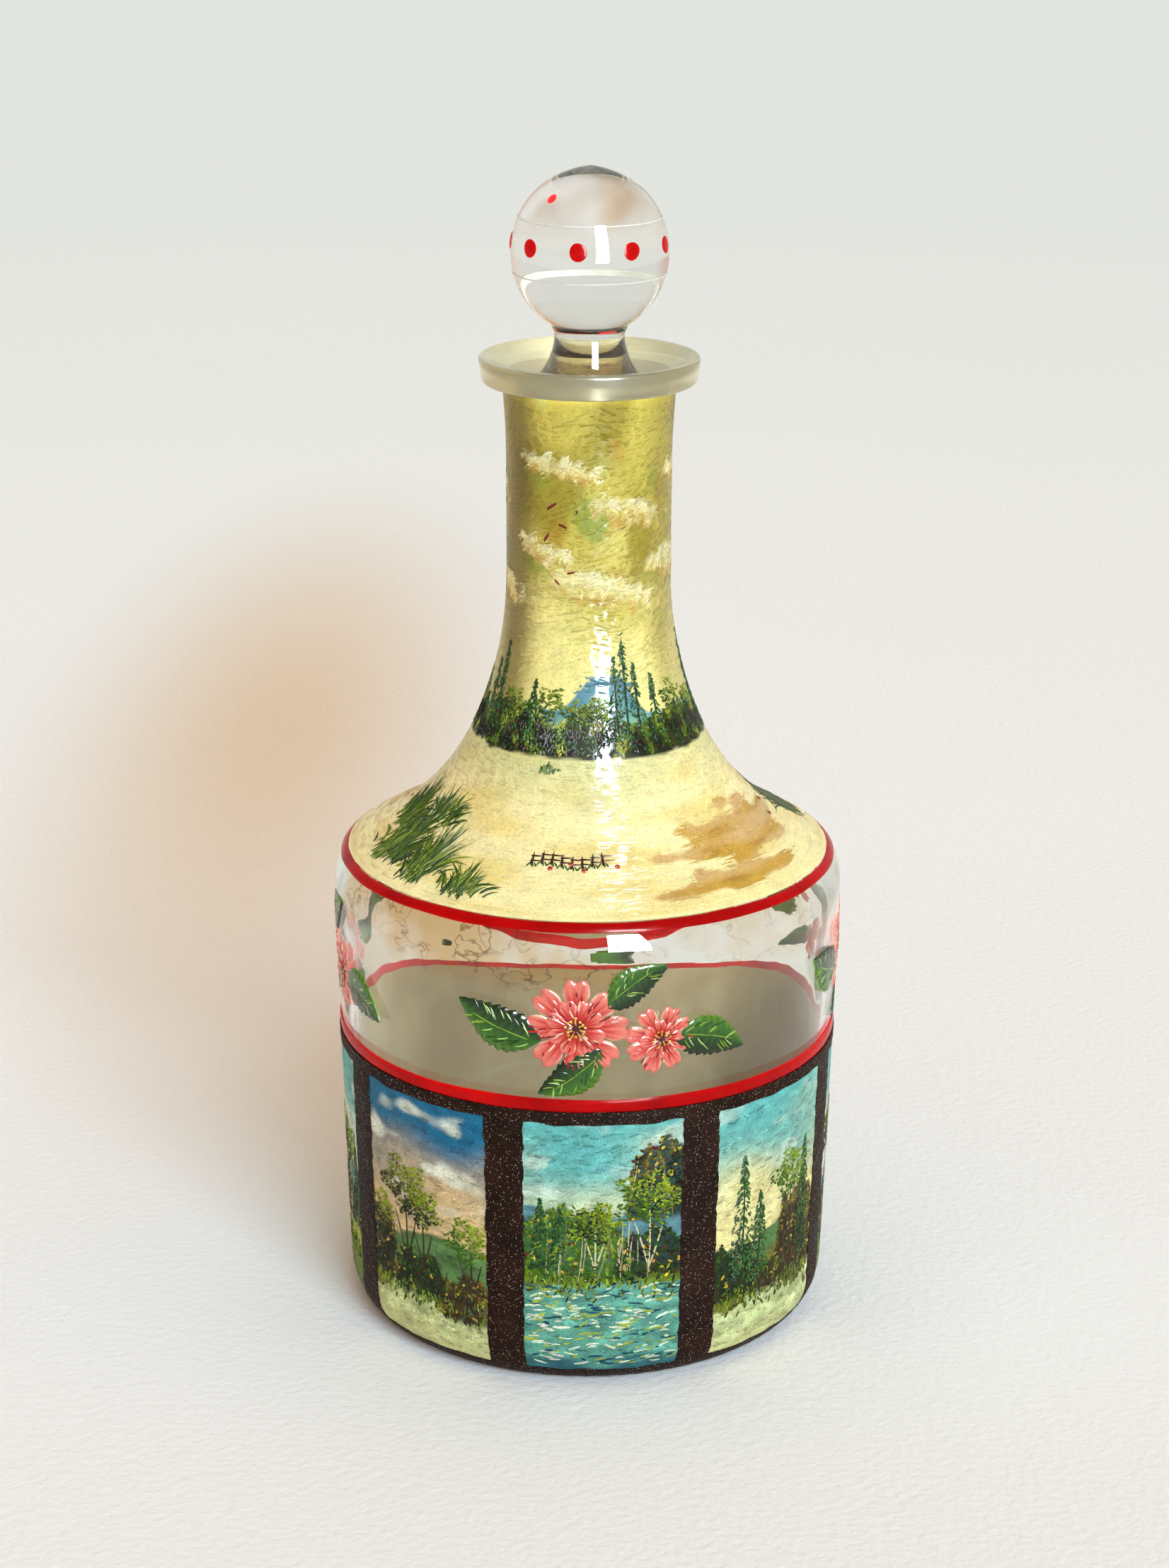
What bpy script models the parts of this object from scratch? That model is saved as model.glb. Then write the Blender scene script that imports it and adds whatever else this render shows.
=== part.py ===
"""A round glass decanter with a ground ball stopper, painted on the outside.

The bottle is one blown piece of glass and the stopper is another, and only these two come apart. The
paint is modelled as it was laid on: a coat on the neck and shoulder, red stripes, a dark frame with eight
pictures on the belly, flower sprays on the bare glass between them, and dots and lines on the ball. Each
layer is a thin shell.

Metres, +Z up. The origin is the centre of the foot's resting plane, and the front faces -Y.
"""

from math import atan2, cos, hypot, pi, radians, sin, sqrt, tan

import bmesh
import bpy
import numpy as np
from mathutils import Vector

# Body of the bottle, from the foot up
FOOT_RING_WIDTH = 0.0060
PUNT_RISE = 0.0040
HEEL_WIDTH = 0.0090
HEEL_HEIGHT = 0.0112
HEEL_RADIUS = 0.0589
BODY_RADIUS = 0.0619
WALL_TOP = 0.1110
EDGE_RADIUS = 0.0094
SHOULDER_SLOPE = radians(28.5)
SHOULDER_RUN = 0.0091
FLARE_HEIGHT = 0.0633
FLARE_FULLNESS_SHARE = 0.60
NECK_RADIUS = 0.0192
NECK_LENGTH = 0.0452
COLLAR_HEIGHT = 0.0200
COLLAR_FLARE = 0.0010

# Lip, mouth and the inside of the bottle
LIP_RADIUS = 0.0260
LIP_THICKNESS = 0.0060
LIP_UNDERCUT = 0.0007
LIP_ROUNDING = 0.0008
LIP_RIM_WIDTH = 0.0012
DISH_DEPTH = 0.0043
SEAT_RADIUS = 0.0119
SEAT_LENGTH = 0.0240
SEAT_TAPER_SHARE = 0.05
LEDGE_HEIGHT = 0.0060
WALL = 0.0030
NECK_WALL = 0.0044
BASE_THICKNESS = 0.0060
INNER_HEEL = 0.0100

# Stopper
SEAT_CLEARANCE = 0.0003
SHANK_CHAMFER = 0.0010
STEM_RADIUS = 0.0082
STEM_HEIGHT = 0.0052
BALL_RADIUS = 0.01845
BALL_HALF_HEIGHT = 0.0193
BALL_RISE = 0.0242
BALL_JOINT_RADIUS = 0.0092
TIP_RISE = 0.0006
TIP_RADIUS = 0.0080

# Paint
PAINT_GAP = 0.0003
PAINT_THICKNESS = 0.0003
FRAME_FOOT = 0.0010
PICTURE_FOOT = 0.0044
PICTURE_TOP = 0.0693
FRAME_TOP = 0.0720
BELLY_RING_WIDTH = 0.0032
SHOULDER_RING_RISE = 0.0059
SHOULDER_RING_WIDTH = 0.0025
PANEL_COUNT = 8
PANEL_TURN = radians(3.9)
UPRIGHT_WIDTH = 0.0095

# Flower sprays on the bare band of glass. The shares are of the spray's half width, counted from its middle
SPRAY_COUNT = 4
SPRAY_MIDDLE = 0.0925
SPRAY_HALF_WIDTH = 0.0350
PETAL_COUNT = 5
PETAL_NOTCH_SHARE = 0.22
BLOSSOM_SHARES = [(-0.19, 0.03, 0.35), (0.38, -0.07, 0.25)]  # across, up, radius
LEAF_SHARES = [  # base across, base up, tip across, tip up
    (-0.42, -0.06, -1.00, 0.17),
    (0.46, -0.06, 1.00, -0.22),
    (0.02, 0.18, 0.42, 0.46),
    (-0.02, -0.12, -0.44, -0.45),
]
LEAF_FULLNESS_SHARE = 0.20

# Dots and lines on the ball
DOT_COUNT = 9
DOT_RADIUS = 0.00205
DOT_RISE = 0.0026
DOT_TURN = radians(-8.5)
UPPER_LINE_RISE = 0.0082
LOWER_LINE_RISE = -0.0047
LINE_WIDTH = 0.0007

# How finely the round forms are divided
WINDOW_FACET_COUNT = 4
STOPPER_FACET_COUNT = 36
HEEL_STEP_COUNT = 4
EDGE_STEP_COUNT = 4
FLARE_STEP_COUNT = 9
COLLAR_STEP_COUNT = 2
SEARCH_STEP_COUNT = 400
OUTLINE_POINT_COUNT = 60
SPRAY_COLUMN_COUNT = 40
SPRAY_ROW_COUNT = 2
DOT_POINT_COUNT = 12
SHARP_ANGLE = radians(35)
MERGE_SHARE = 0.01

# Heights that follow from the sizes above
edge_end_radius = BODY_RADIUS - EDGE_RADIUS * (1 - sin(SHOULDER_SLOPE))
edge_end_height = WALL_TOP + EDGE_RADIUS * cos(SHOULDER_SLOPE)
flare_radius = edge_end_radius - SHOULDER_RUN * cos(SHOULDER_SLOPE)
flare_foot = edge_end_height + SHOULDER_RUN * sin(SHOULDER_SLOPE)
flare_top = flare_foot + FLARE_HEIGHT
lip_foot = flare_top + NECK_LENGTH
lip_top = lip_foot + LIP_THICKNESS
mouth_height = lip_top - DISH_DEPTH
seat_foot = mouth_height - SEAT_LENGTH
seat_foot_radius = SEAT_RADIUS - SEAT_TAPER_SHARE * SEAT_LENGTH
foot_radius = HEEL_RADIUS - HEEL_WIDTH
belly_ring_foot = FRAME_TOP + PAINT_GAP
belly_ring_top = belly_ring_foot + BELLY_RING_WIDTH
MERGE_DISTANCE = PAINT_GAP * MERGE_SHARE


def shares(steps):
    """0 to 1 in equal steps, both ends included."""
    return [i / steps for i in range(steps + 1)]


def flare_point(t):
    """The concave sweep from the shoulder up to the neck: a cubic curve between its two end tangents."""
    side = flare_radius - NECK_RADIUS
    corner = flare_foot + side * tan(SHOULDER_SLOPE)
    near = FLARE_FULLNESS_SHARE
    radii = (flare_radius, flare_radius - near * side, NECK_RADIUS, NECK_RADIUS)
    heights = (
        flare_foot,
        flare_foot + near * (corner - flare_foot),
        flare_top - near * (flare_top - corner),
        flare_top,
    )
    weights = ((1 - t) ** 3, 3 * t * (1 - t) ** 2, 3 * t**2 * (1 - t), t**3)
    return (
        sum(w * r for w, r in zip(weights, radii)),
        sum(w * z for w, z in zip(weights, heights)),
    )


def heel_point(t):
    """The rounded heel, a quarter ellipse from the foot out to the wall."""
    turn = t * pi / 2
    return foot_radius + HEEL_WIDTH * sin(turn), HEEL_HEIGHT * (1 - cos(turn))


def edge_point(t):
    """The rounded edge between the wall and the shoulder."""
    turn = t * (pi / 2 - SHOULDER_SLOPE)
    return BODY_RADIUS - EDGE_RADIUS * (1 - cos(turn)), WALL_TOP + EDGE_RADIUS * sin(turn)


def collar_point(t):
    """The neck opens a little under the lip, along an arc."""
    arc = (COLLAR_HEIGHT**2 + COLLAR_FLARE**2) / (2 * COLLAR_FLARE)
    rise = COLLAR_HEIGHT * t
    return NECK_RADIUS + arc - sqrt(arc**2 - rise**2), lip_foot - COLLAR_HEIGHT + rise


def outside_line():
    """The bottle's outer line from the foot to the lip, as closely spaced points."""
    steps = shares(SEARCH_STEP_COUNT)
    points = [heel_point(t) for t in steps]
    points += [edge_point(t) for t in steps]
    points += [flare_point(t) for t in steps]
    points += [collar_point(t) for t in steps]
    return np.array(points)


OUTSIDE = outside_line()


def radius_at(height):
    """The bottle's outer radius at a height."""
    return float(np.interp(height, OUTSIDE[:, 1], OUTSIDE[:, 0]))


def off_glass(height, distance):
    """The radius and height of the point that lies a distance off the outer face, square to it."""
    step = PAINT_GAP
    lean = (radius_at(height + step) - radius_at(height - step)) / (2 * step)
    length = hypot(1, lean)
    return radius_at(height) + distance / length, height - distance * lean / length


def climb(height, distance):
    """The height reached by going a distance up the outer face."""
    step = distance / SEARCH_STEP_COUNT
    for _ in range(SEARCH_STEP_COUNT):
        lean = (radius_at(height + step) - radius_at(height)) / step
        height += step / hypot(1, lean)
    return height


shoulder_ring_foot = climb(WALL_TOP, SHOULDER_RING_RISE)
shoulder_ring_top = climb(shoulder_ring_foot, SHOULDER_RING_WIDTH)
coat_foot = climb(shoulder_ring_top, PAINT_GAP)
coat_top = lip_foot - PAINT_GAP

# Every height where the outer line bends or where a layer of paint starts or ends
OUTSIDE_HEIGHTS = sorted(
    [heel_point(t)[1] for t in shares(HEEL_STEP_COUNT)]
    + [FRAME_FOOT, PICTURE_FOOT, PICTURE_TOP, FRAME_TOP, belly_ring_top]
    + [edge_point(t)[1] for t in shares(EDGE_STEP_COUNT)]
    + [shoulder_ring_foot, shoulder_ring_top]
    + [flare_point(t)[1] for t in shares(FLARE_STEP_COUNT)]
    + [collar_point(t)[1] for t in shares(COLLAR_STEP_COUNT)]
)


def heights_between(low, high):
    """The two ends, with the bends of the outer line between them."""
    inner = [z for z in OUTSIDE_HEIGHTS if low + PAINT_GAP < z < high - PAINT_GAP]
    return [low] + inner + [high]


def panel_angles():
    """The angles of the body's facets. The edges of every window of the picture frame are among them."""
    pitch = 2 * pi / PANEL_COUNT
    window = pitch - UPRIGHT_WIDTH / radius_at(PICTURE_TOP)
    angles = []
    for panel in range(PANEL_COUNT):
        left = PANEL_TURN + panel * pitch - window / 2
        angles += [left + window * s for s in shares(WINDOW_FACET_COUNT)]
    return angles + [angles[0] + 2 * pi]


ANGLES = panel_angles()
PANEL_STRIDE = WINDOW_FACET_COUNT + 1


def place(angle, radius, height):
    """The point at an angle from the front, counted towards +X."""
    return Vector((radius * sin(angle), -radius * cos(angle), height))


def paint(name, colour, roughness, transmission=0):
    """A plain material for one finish."""
    material = bpy.data.materials.new(name)
    material.use_nodes = True
    shader = material.node_tree.nodes["Principled BSDF"]
    shader.inputs["Base Color"].default_value = (*colour, 1)
    shader.inputs["Roughness"].default_value = roughness
    shader.inputs["Metallic"].default_value = 0
    shader.inputs["Transmission Weight"].default_value = transmission
    material.diffuse_color = (*colour, 1)
    return material


def add_object(name, bm, material, parent):
    """Turns a bmesh into an object with smooth faces."""
    mesh = bpy.data.meshes.new(name)
    bm.to_mesh(mesh)
    bm.free()
    mesh.materials.append(material)
    mesh.shade_smooth()
    mesh.set_sharp_from_angle(angle=SHARP_ANGLE)
    piece = bpy.data.objects.new(name, mesh)
    bpy.context.scene.collection.objects.link(piece)
    piece.parent = parent
    return piece


def add_axis(name, height):
    """An empty on the bottle's axis that carries a group of pieces."""
    axis = bpy.data.objects.new(name, None)
    axis.location.z = height
    bpy.context.scene.collection.objects.link(axis)
    return axis


def turned(line, angles):
    """A solid turned from a line of (radius, height) points that starts and ends on the axis."""
    bm = bmesh.new()
    verts = [bm.verts.new(place(angles[0], r, z)) for r, z in line]
    ring = verts + [bm.edges.new(pair) for pair in zip(verts, verts[1:])]
    for start, end in zip(angles, angles[1:]):
        spun = bmesh.ops.spin(
            bm, geom=ring, cent=(0, 0, 0), axis=(0, 0, 1), angle=end - start, steps=1
        )
        ring = spun["geom_last"]
    bmesh.ops.remove_doubles(bm, verts=bm.verts, dist=MERGE_DISTANCE)
    bmesh.ops.recalc_face_normals(bm, faces=bm.faces)
    return bm


def sheet(grid, closed, keep=None):
    """A sheet of quads over rows of points. keep(row, column) says which cells hold paint."""
    bm = bmesh.new()
    rows = [[bm.verts.new(point) for point in row] for row in grid]
    for i, (low, high) in enumerate(zip(rows, rows[1:])):
        count = len(low)
        for j in range(count if closed else count - 1):
            k = (j + 1) % count
            if keep is None or keep(i, j):
                bm.faces.new((low[j], low[k], high[k], high[j]))
    loose = [v for v in bm.verts if not v.link_faces]
    bmesh.ops.delete(bm, geom=loose, context="VERTS")
    return bm


def fan(rings, middle):
    """A sheet of triangles round a middle point, then quads from ring to ring."""
    bm = bmesh.new()
    centre = bm.verts.new(middle)
    loops = [[bm.verts.new(point) for point in ring] for ring in rings]
    count = len(loops[0])
    for j in range(count):
        k = (j + 1) % count
        bm.faces.new((centre, loops[0][j], loops[0][k]))
        for inner, outer in zip(loops, loops[1:]):
            bm.faces.new((inner[j], outer[j], outer[k], inner[k]))
    return bm


def lay_paint(name, bm, material, parent):
    """Gives a sheet of paint its thickness, away from the glass."""
    bm.normal_update()
    piece = add_object(name, bm, material, parent)
    solidify = piece.modifiers.new("paint thickness", "SOLIDIFY")
    solidify.thickness = PAINT_THICKNESS
    solidify.offset = 1
    solidify.use_even_offset = True
    return piece


def on_glass(angles, heights):
    """A grid of points one paint gap off the bottle's outer face."""
    rows = [off_glass(z, PAINT_GAP) for z in heights]
    return [[place(a, r, z) for a in angles] for r, z in rows]


def underside():
    """The line under the bottle, from the centre of the punt to the foot ring."""
    rim = foot_radius - FOOT_RING_WIDTH
    steps = shares(HEEL_STEP_COUNT)
    return [(rim * t, PUNT_RISE * (1 - t**2)) for t in steps]


def lip_line():
    """The lip: its underside, its rounded side and its dished top, down to the mouth."""
    low = LIP_RADIUS - LIP_UNDERCUT
    rim = LIP_RADIUS - LIP_ROUNDING - LIP_RIM_WIDTH
    line = [
        (low - LIP_ROUNDING, lip_foot),
        (low, lip_foot + LIP_ROUNDING),
        (LIP_RADIUS, lip_top - LIP_ROUNDING),
        (LIP_RADIUS - LIP_ROUNDING, lip_top),
    ]
    for t in shares(HEEL_STEP_COUNT):
        line.append((rim - (rim - SEAT_RADIUS) * t, lip_top - DISH_DEPTH * (1 - (1 - t) ** 2)))
    return line


def wall_at(height):
    """The glass is thicker in the neck than in the body."""
    share = min(max((height - WALL_TOP) / (flare_top - WALL_TOP), 0), 1)
    return WALL + (NECK_WALL - WALL) * share


def inside_line():
    """The line of the cavity, from the foot of the ground seat down to the centre of the floor."""
    bore = NECK_RADIUS - NECK_WALL
    ledge_foot = seat_foot - LEDGE_HEIGHT
    line = [(seat_foot_radius, seat_foot)]
    for t in shares(HEEL_STEP_COUNT)[1:]:
        share = (1 - cos(pi * t)) / 2
        radius = seat_foot_radius + (bore - seat_foot_radius) * share
        line.append((radius, seat_foot - LEDGE_HEIGHT * t))
    corner_top = BASE_THICKNESS + INNER_HEEL
    bends = [flare_point(t)[1] for t in shares(FLARE_STEP_COUNT)]
    bends += [edge_point(t)[1] for t in shares(EDGE_STEP_COUNT)]
    for height in sorted(bends, reverse=True):
        radius, inner_height = off_glass(height, -wall_at(height))
        if inner_height < ledge_foot - PAINT_GAP:
            line.append((radius, inner_height))
    corner = off_glass(corner_top, -WALL)[0]
    for t in shares(HEEL_STEP_COUNT):
        turn = t * pi / 2
        line.append((corner - INNER_HEEL * (1 - cos(turn)), corner_top - INNER_HEEL * sin(turn)))
    line.append((0, BASE_THICKNESS + PUNT_RISE))
    return line


def make_bottle_glass(axis):
    """The bottle's glass in one turned line: foot, wall, shoulder, neck, lip, ground seat and cavity."""
    outer = [(radius_at(z), z) for z in OUTSIDE_HEIGHTS]
    line = underside() + outer + lip_line() + inside_line()
    clear = paint("clear glass", (0.93, 0.95, 0.92), 0.03, 1)
    return add_object("bottle_glass", turned(line, ANGLES), clear, axis)


def stopper_line():
    """The stopper from the shank's end up to the ball's drawn tip, with heights above the lip's top."""
    top = -DISH_DEPTH
    foot = top - SEAT_LENGTH
    shank_top = SEAT_RADIUS - SEAT_CLEARANCE
    shank_foot = seat_foot_radius - SEAT_CLEARANCE
    line = [(0, foot), (shank_foot - SHANK_CHAMFER, foot), (shank_foot, foot + SHANK_CHAMFER)]
    for t in shares(HEEL_STEP_COUNT):
        radius = shank_top - (shank_top - STEM_RADIUS) * (1 - (1 - t) ** 2)
        line.append((radius, top + (STEM_HEIGHT - top) * t))
    start = -sqrt(1 - (BALL_JOINT_RADIUS / BALL_RADIUS) ** 2)
    first = atan2(start, BALL_JOINT_RADIUS / BALL_RADIUS)
    rows = STOPPER_FACET_COUNT // 2
    for t in shares(rows):
        turn = first + (pi / 2 - first) * t
        radius = BALL_RADIUS * cos(turn)
        drawn = TIP_RISE * max(0, 1 - radius / TIP_RADIUS) ** 2 if turn > 0 else 0
        line.append((radius if t < 1 else 0, BALL_RISE + BALL_HALF_HEIGHT * sin(turn) + drawn))
    return line


def make_stopper_glass(axis):
    """The solid stopper: tapered ground shank, waisted stem and ball."""
    angles = [2 * pi * t for t in shares(STOPPER_FACET_COUNT)]
    clear = paint("clear stopper glass", (0.95, 0.95, 0.92), 0.02, 1)
    return add_object("stopper_glass", turned(stopper_line(), angles), clear, axis)


def make_neck_coat(axis):
    """The golden coat that covers the shoulder and the neck, up to the lip."""
    golden = paint("golden sky paint", (0.72, 0.62, 0.22), 0.28)
    bm = sheet(on_glass(ANGLES[:-1], heights_between(coat_foot, coat_top)), closed=True)
    return lay_paint("neck_and_shoulder_coat", bm, golden, axis)


def make_stripe(name, foot, top, colour, axis):
    """A stripe of enamel all round the bottle."""
    bm = sheet(on_glass(ANGLES[:-1], heights_between(foot, top)), closed=True)
    return lay_paint(name, bm, colour, axis)


def make_picture_frame(axis):
    """The dark frame: a rail above, a rail round the heel and an upright between each two pictures."""
    dark = paint("dark brown frame paint", (0.035, 0.018, 0.012), 0.55)
    heights = heights_between(FRAME_FOOT, FRAME_TOP)

    def holds_paint(row, column):
        in_window_rows = PICTURE_FOOT <= heights[row] and heights[row + 1] <= PICTURE_TOP
        in_window = column % PANEL_STRIDE < WINDOW_FACET_COUNT
        return not (in_window_rows and in_window)

    bm = sheet(on_glass(ANGLES[:-1], heights), closed=True, keep=holds_paint)
    return lay_paint("picture_frame_coat", bm, dark, axis)


def make_pictures(axis):
    """One picture in each window of the frame, a paint gap clear of it all round."""
    tones = [(0.25, 0.50, 0.48), (0.45, 0.47, 0.18), (0.20, 0.40, 0.50), (0.52, 0.50, 0.30)]
    inset = PAINT_GAP / radius_at(PICTURE_TOP)
    heights = heights_between(PICTURE_FOOT + PAINT_GAP, PICTURE_TOP - PAINT_GAP)
    for panel in range(PANEL_COUNT):
        angles = ANGLES[panel * PANEL_STRIDE : panel * PANEL_STRIDE + PANEL_STRIDE]
        angles = [angles[0] + inset] + angles[1:-1] + [angles[-1] - inset]
        picture = paint(f"picture paint {panel + 1}", tones[panel % len(tones)], 0.35)
        bm = sheet(on_glass(angles, heights), closed=False)
        lay_paint(f"picture_{panel + 1}", bm, picture, axis)


def blossom_outline(across, up, radius):
    """Five round petals about a point."""
    points = []
    for t in shares(OUTLINE_POINT_COUNT)[:-1]:
        turn = 2 * pi * t
        reach = radius * (1 - PETAL_NOTCH_SHARE * (1 - cos(PETAL_COUNT * (turn - pi / 2))) / 2)
        points.append((across + reach * cos(turn), up + reach * sin(turn)))
    return points


def leaf_outline(base_across, base_up, tip_across, tip_up):
    """A pointed leaf from its base to its tip: up one side and back down the other."""
    side_across = (tip_up - base_up) * LEAF_FULLNESS_SHARE
    side_up = (base_across - tip_across) * LEAF_FULLNESS_SHARE
    points = []
    for side in (1, -1):
        for t in shares(OUTLINE_POINT_COUNT)[:: side][:-1]:
            width = side * sin(pi * t)
            points.append(
                (
                    base_across + (tip_across - base_across) * t + side_across * width,
                    base_up + (tip_up - base_up) * t + side_up * width,
                )
            )
    return points


def crossings(outline, across):
    """The heights at which an upright line crosses a closed outline."""
    heights = []
    for (x0, y0), (x1, y1) in zip(outline, outline[1:] + outline[:1]):
        if min(x0, x1) <= across < max(x0, x1):
            heights.append(y0 + (y1 - y0) * (across - x0) / (x1 - x0))
    return heights


def spray_columns():
    """The spray's outline, column by column from its left leaf's tip to its right leaf's tip."""
    outlines = [blossom_outline(*blossom) for blossom in BLOSSOM_SHARES]
    outlines += [leaf_outline(*leaf) for leaf in LEAF_SHARES]
    left = min(across for outline in outlines for across, _ in outline)
    right = max(across for outline in outlines for across, _ in outline)
    columns = []
    for t in shares(SPRAY_COLUMN_COUNT):
        across = left + (right - left) * t
        heights = [z for outline in outlines for z in crossings(outline, across)]
        if not heights:
            heights = [up for outline in outlines for tip, up in outline if tip == right]
        columns.append((across, min(heights), max(heights)))
    return columns


def make_sprays(axis):
    """Two blossoms with their leaves, painted on the bare glass at equal steps round the band."""
    coral = paint("coral and green paint", (0.75, 0.20, 0.17), 0.30)
    columns = spray_columns()
    for spray in range(SPRAY_COUNT):
        turn = PANEL_TURN + 2 * pi * spray / SPRAY_COUNT
        grid = []
        for across, low, high in columns:
            column = []
            for t in shares(SPRAY_ROW_COUNT):
                rise = SPRAY_HALF_WIDTH * (low + (high - low) * t)
                radius, height = off_glass(SPRAY_MIDDLE + rise, PAINT_GAP)
                angle = turn + SPRAY_HALF_WIDTH * across / radius_at(SPRAY_MIDDLE)
                column.append(place(angle, radius, height))
            grid.append(column)
        bm = sheet(grid, closed=False)
        bmesh.ops.reverse_faces(bm, faces=bm.faces)
        bmesh.ops.remove_doubles(bm, verts=bm.verts, dist=MERGE_DISTANCE)
        lay_paint(f"flower_spray_{spray + 1}", bm, coral, axis)


def ball_radius_at(rise, distance):
    """The ball's radius at a height above its middle, for a surface a distance off the glass."""
    share = rise / (BALL_HALF_HEIGHT + distance)
    return (BALL_RADIUS + distance) * sqrt(1 - share**2)


def make_dots(axis):
    """Red dots round the ball."""
    red = paint("red dot enamel", (0.60, 0.01, 0.02), 0.20)
    middle_radius = ball_radius_at(DOT_RISE, PAINT_GAP)
    for dot in range(DOT_COUNT):
        turn = DOT_TURN + 2 * pi * dot / DOT_COUNT

        def on_ball(across, up):
            radius = ball_radius_at(DOT_RISE + up, PAINT_GAP)
            return place(turn + across / middle_radius, radius, BALL_RISE + DOT_RISE + up)

        directions = [2 * pi * t for t in shares(DOT_POINT_COUNT)][:-1]
        ring = [on_ball(DOT_RADIUS * cos(d), DOT_RADIUS * sin(d)) for d in directions]
        lay_paint(f"stopper_dot_{dot + 1}", fan([ring], on_ball(0, 0)), red, axis)


def make_line(name, rise, white, axis):
    """A fine white line round the ball."""
    angles = [2 * pi * t for t in shares(STOPPER_FACET_COUNT)][:-1]
    rows = []
    for height in (rise - LINE_WIDTH / 2, rise + LINE_WIDTH / 2):
        radius = ball_radius_at(height, PAINT_GAP)
        rows.append([place(a, radius, BALL_RISE + height) for a in angles])
    return lay_paint(name, sheet(rows, closed=True), white, axis)


def clear_scene():
    """Starts from an empty scene."""
    for piece in list(bpy.data.objects):
        bpy.data.objects.remove(piece, do_unlink=True)


def build():
    clear_scene()
    bottle_axis = add_axis("bottle_axis", 0)
    make_bottle_glass(bottle_axis)
    red = paint("red stripe enamel", (0.55, 0.008, 0.015), 0.25)
    make_neck_coat(bottle_axis)
    make_stripe("shoulder_stripe", shoulder_ring_foot, shoulder_ring_top, red, bottle_axis)
    make_stripe("belly_stripe", belly_ring_foot, belly_ring_top, red, bottle_axis)
    make_picture_frame(bottle_axis)
    make_pictures(bottle_axis)
    make_sprays(bottle_axis)

    stopper_axis = add_axis("stopper_axis", lip_top)
    stopper_axis.parent = bottle_axis
    make_stopper_glass(stopper_axis)
    make_dots(stopper_axis)
    white = paint("white line enamel", (0.85, 0.85, 0.82), 0.35)
    make_line("stopper_line_upper", UPPER_LINE_RISE, white, stopper_axis)
    make_line("stopper_line_lower", LOWER_LINE_RISE, white, stopper_axis)
    bpy.context.view_layer.update()


build()
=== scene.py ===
from math import atan2, cos, degrees, pi, radians, sin, sqrt, tan

import bpy
import numpy as np
from mathutils import Matrix, Vector


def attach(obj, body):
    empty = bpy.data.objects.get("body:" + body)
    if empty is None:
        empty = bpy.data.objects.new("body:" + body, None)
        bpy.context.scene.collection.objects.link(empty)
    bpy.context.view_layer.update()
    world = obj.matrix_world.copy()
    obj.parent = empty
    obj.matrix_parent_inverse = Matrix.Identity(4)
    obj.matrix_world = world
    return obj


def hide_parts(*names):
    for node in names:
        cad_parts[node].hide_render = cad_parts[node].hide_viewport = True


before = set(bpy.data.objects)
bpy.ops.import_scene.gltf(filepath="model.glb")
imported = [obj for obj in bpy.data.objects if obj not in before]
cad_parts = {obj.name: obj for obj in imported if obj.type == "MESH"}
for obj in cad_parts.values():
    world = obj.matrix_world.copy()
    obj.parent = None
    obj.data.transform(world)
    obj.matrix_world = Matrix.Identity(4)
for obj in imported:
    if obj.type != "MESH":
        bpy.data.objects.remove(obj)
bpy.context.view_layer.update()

bpy.ops.object.select_all(action="DESELECT")


# The bottle. One piece of clear glass, blown and turned while hot: a rounded heel, a straight wall, a sloping
# shoulder that sweeps up into the neck, a thick pressed lip with a dished top, and a ground seat below it.
# The wall is left as it cooled, a little uneven inside, and the lip is satin from the grinding.
FOOT_RING_WIDTH = 0.0060
PUNT_RISE = 0.0040
HEEL_WIDTH = 0.0090
HEEL_HEIGHT = 0.0112
HEEL_RADIUS = 0.0589
BODY_RADIUS = 0.0619
WALL_TOP = 0.1110
EDGE_RADIUS = 0.0094
SHOULDER_SLOPE = radians(28.5)
SHOULDER_RUN = 0.0091
FLARE_HEIGHT = 0.0633
FLARE_FULLNESS_SHARE = 0.60
NECK_RADIUS = 0.0192
NECK_LENGTH = 0.0452
COLLAR_HEIGHT = 0.0200
COLLAR_FLARE = 0.0010
LIP_RADIUS = 0.0260
LIP_THICKNESS = 0.0060
LIP_UNDERCUT = 0.0007
LIP_ROUNDING = 0.0008
LIP_RIM_WIDTH = 0.0012
DISH_DEPTH = 0.0043
SEAT_RADIUS = 0.0119
SEAT_LENGTH = 0.0240
SEAT_TAPER_SHARE = 0.05
LEDGE_HEIGHT = 0.0060
WALL = 0.0030
NECK_WALL = 0.0044
BASE_THICKNESS = 0.0060
INNER_HEEL = 0.0100
WALL_UNEVENNESS = 0.00016
UNEVEN_SIZE = 0.016
GLASS_ROW = 0.0022
EDGE_ROW = 0.0006
EDGE_REACH = 0.0060
GLASS_SIDE_COUNT = 192
FINE_STEP_COUNT = 240
CURVE_STEP_COUNT = 14
JOIN_DISTANCE = 0.000004
OUTER_SOFTNESS = 0.0015
INNER_SOFTNESS = 0.0075
SOFT_FROM, SOFT_TO, SOFT_FADE = 0.0860, 0.1400, 0.0160
SOFT_STEP = 0.0002
WAVES_FROM, WAVES_FULL = 0.0960, 0.1080
SMEARS_FROM, SMEARS_TO = 0.1010, 0.1200
GLASS_SMOOTH_ANGLE = 42


def ease(low, high, value):
    """0 below low, 1 above high, smooth between."""
    share = np.clip((value - low) / (high - low), 0, 1)
    return share * share * (3 - 2 * share)


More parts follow.
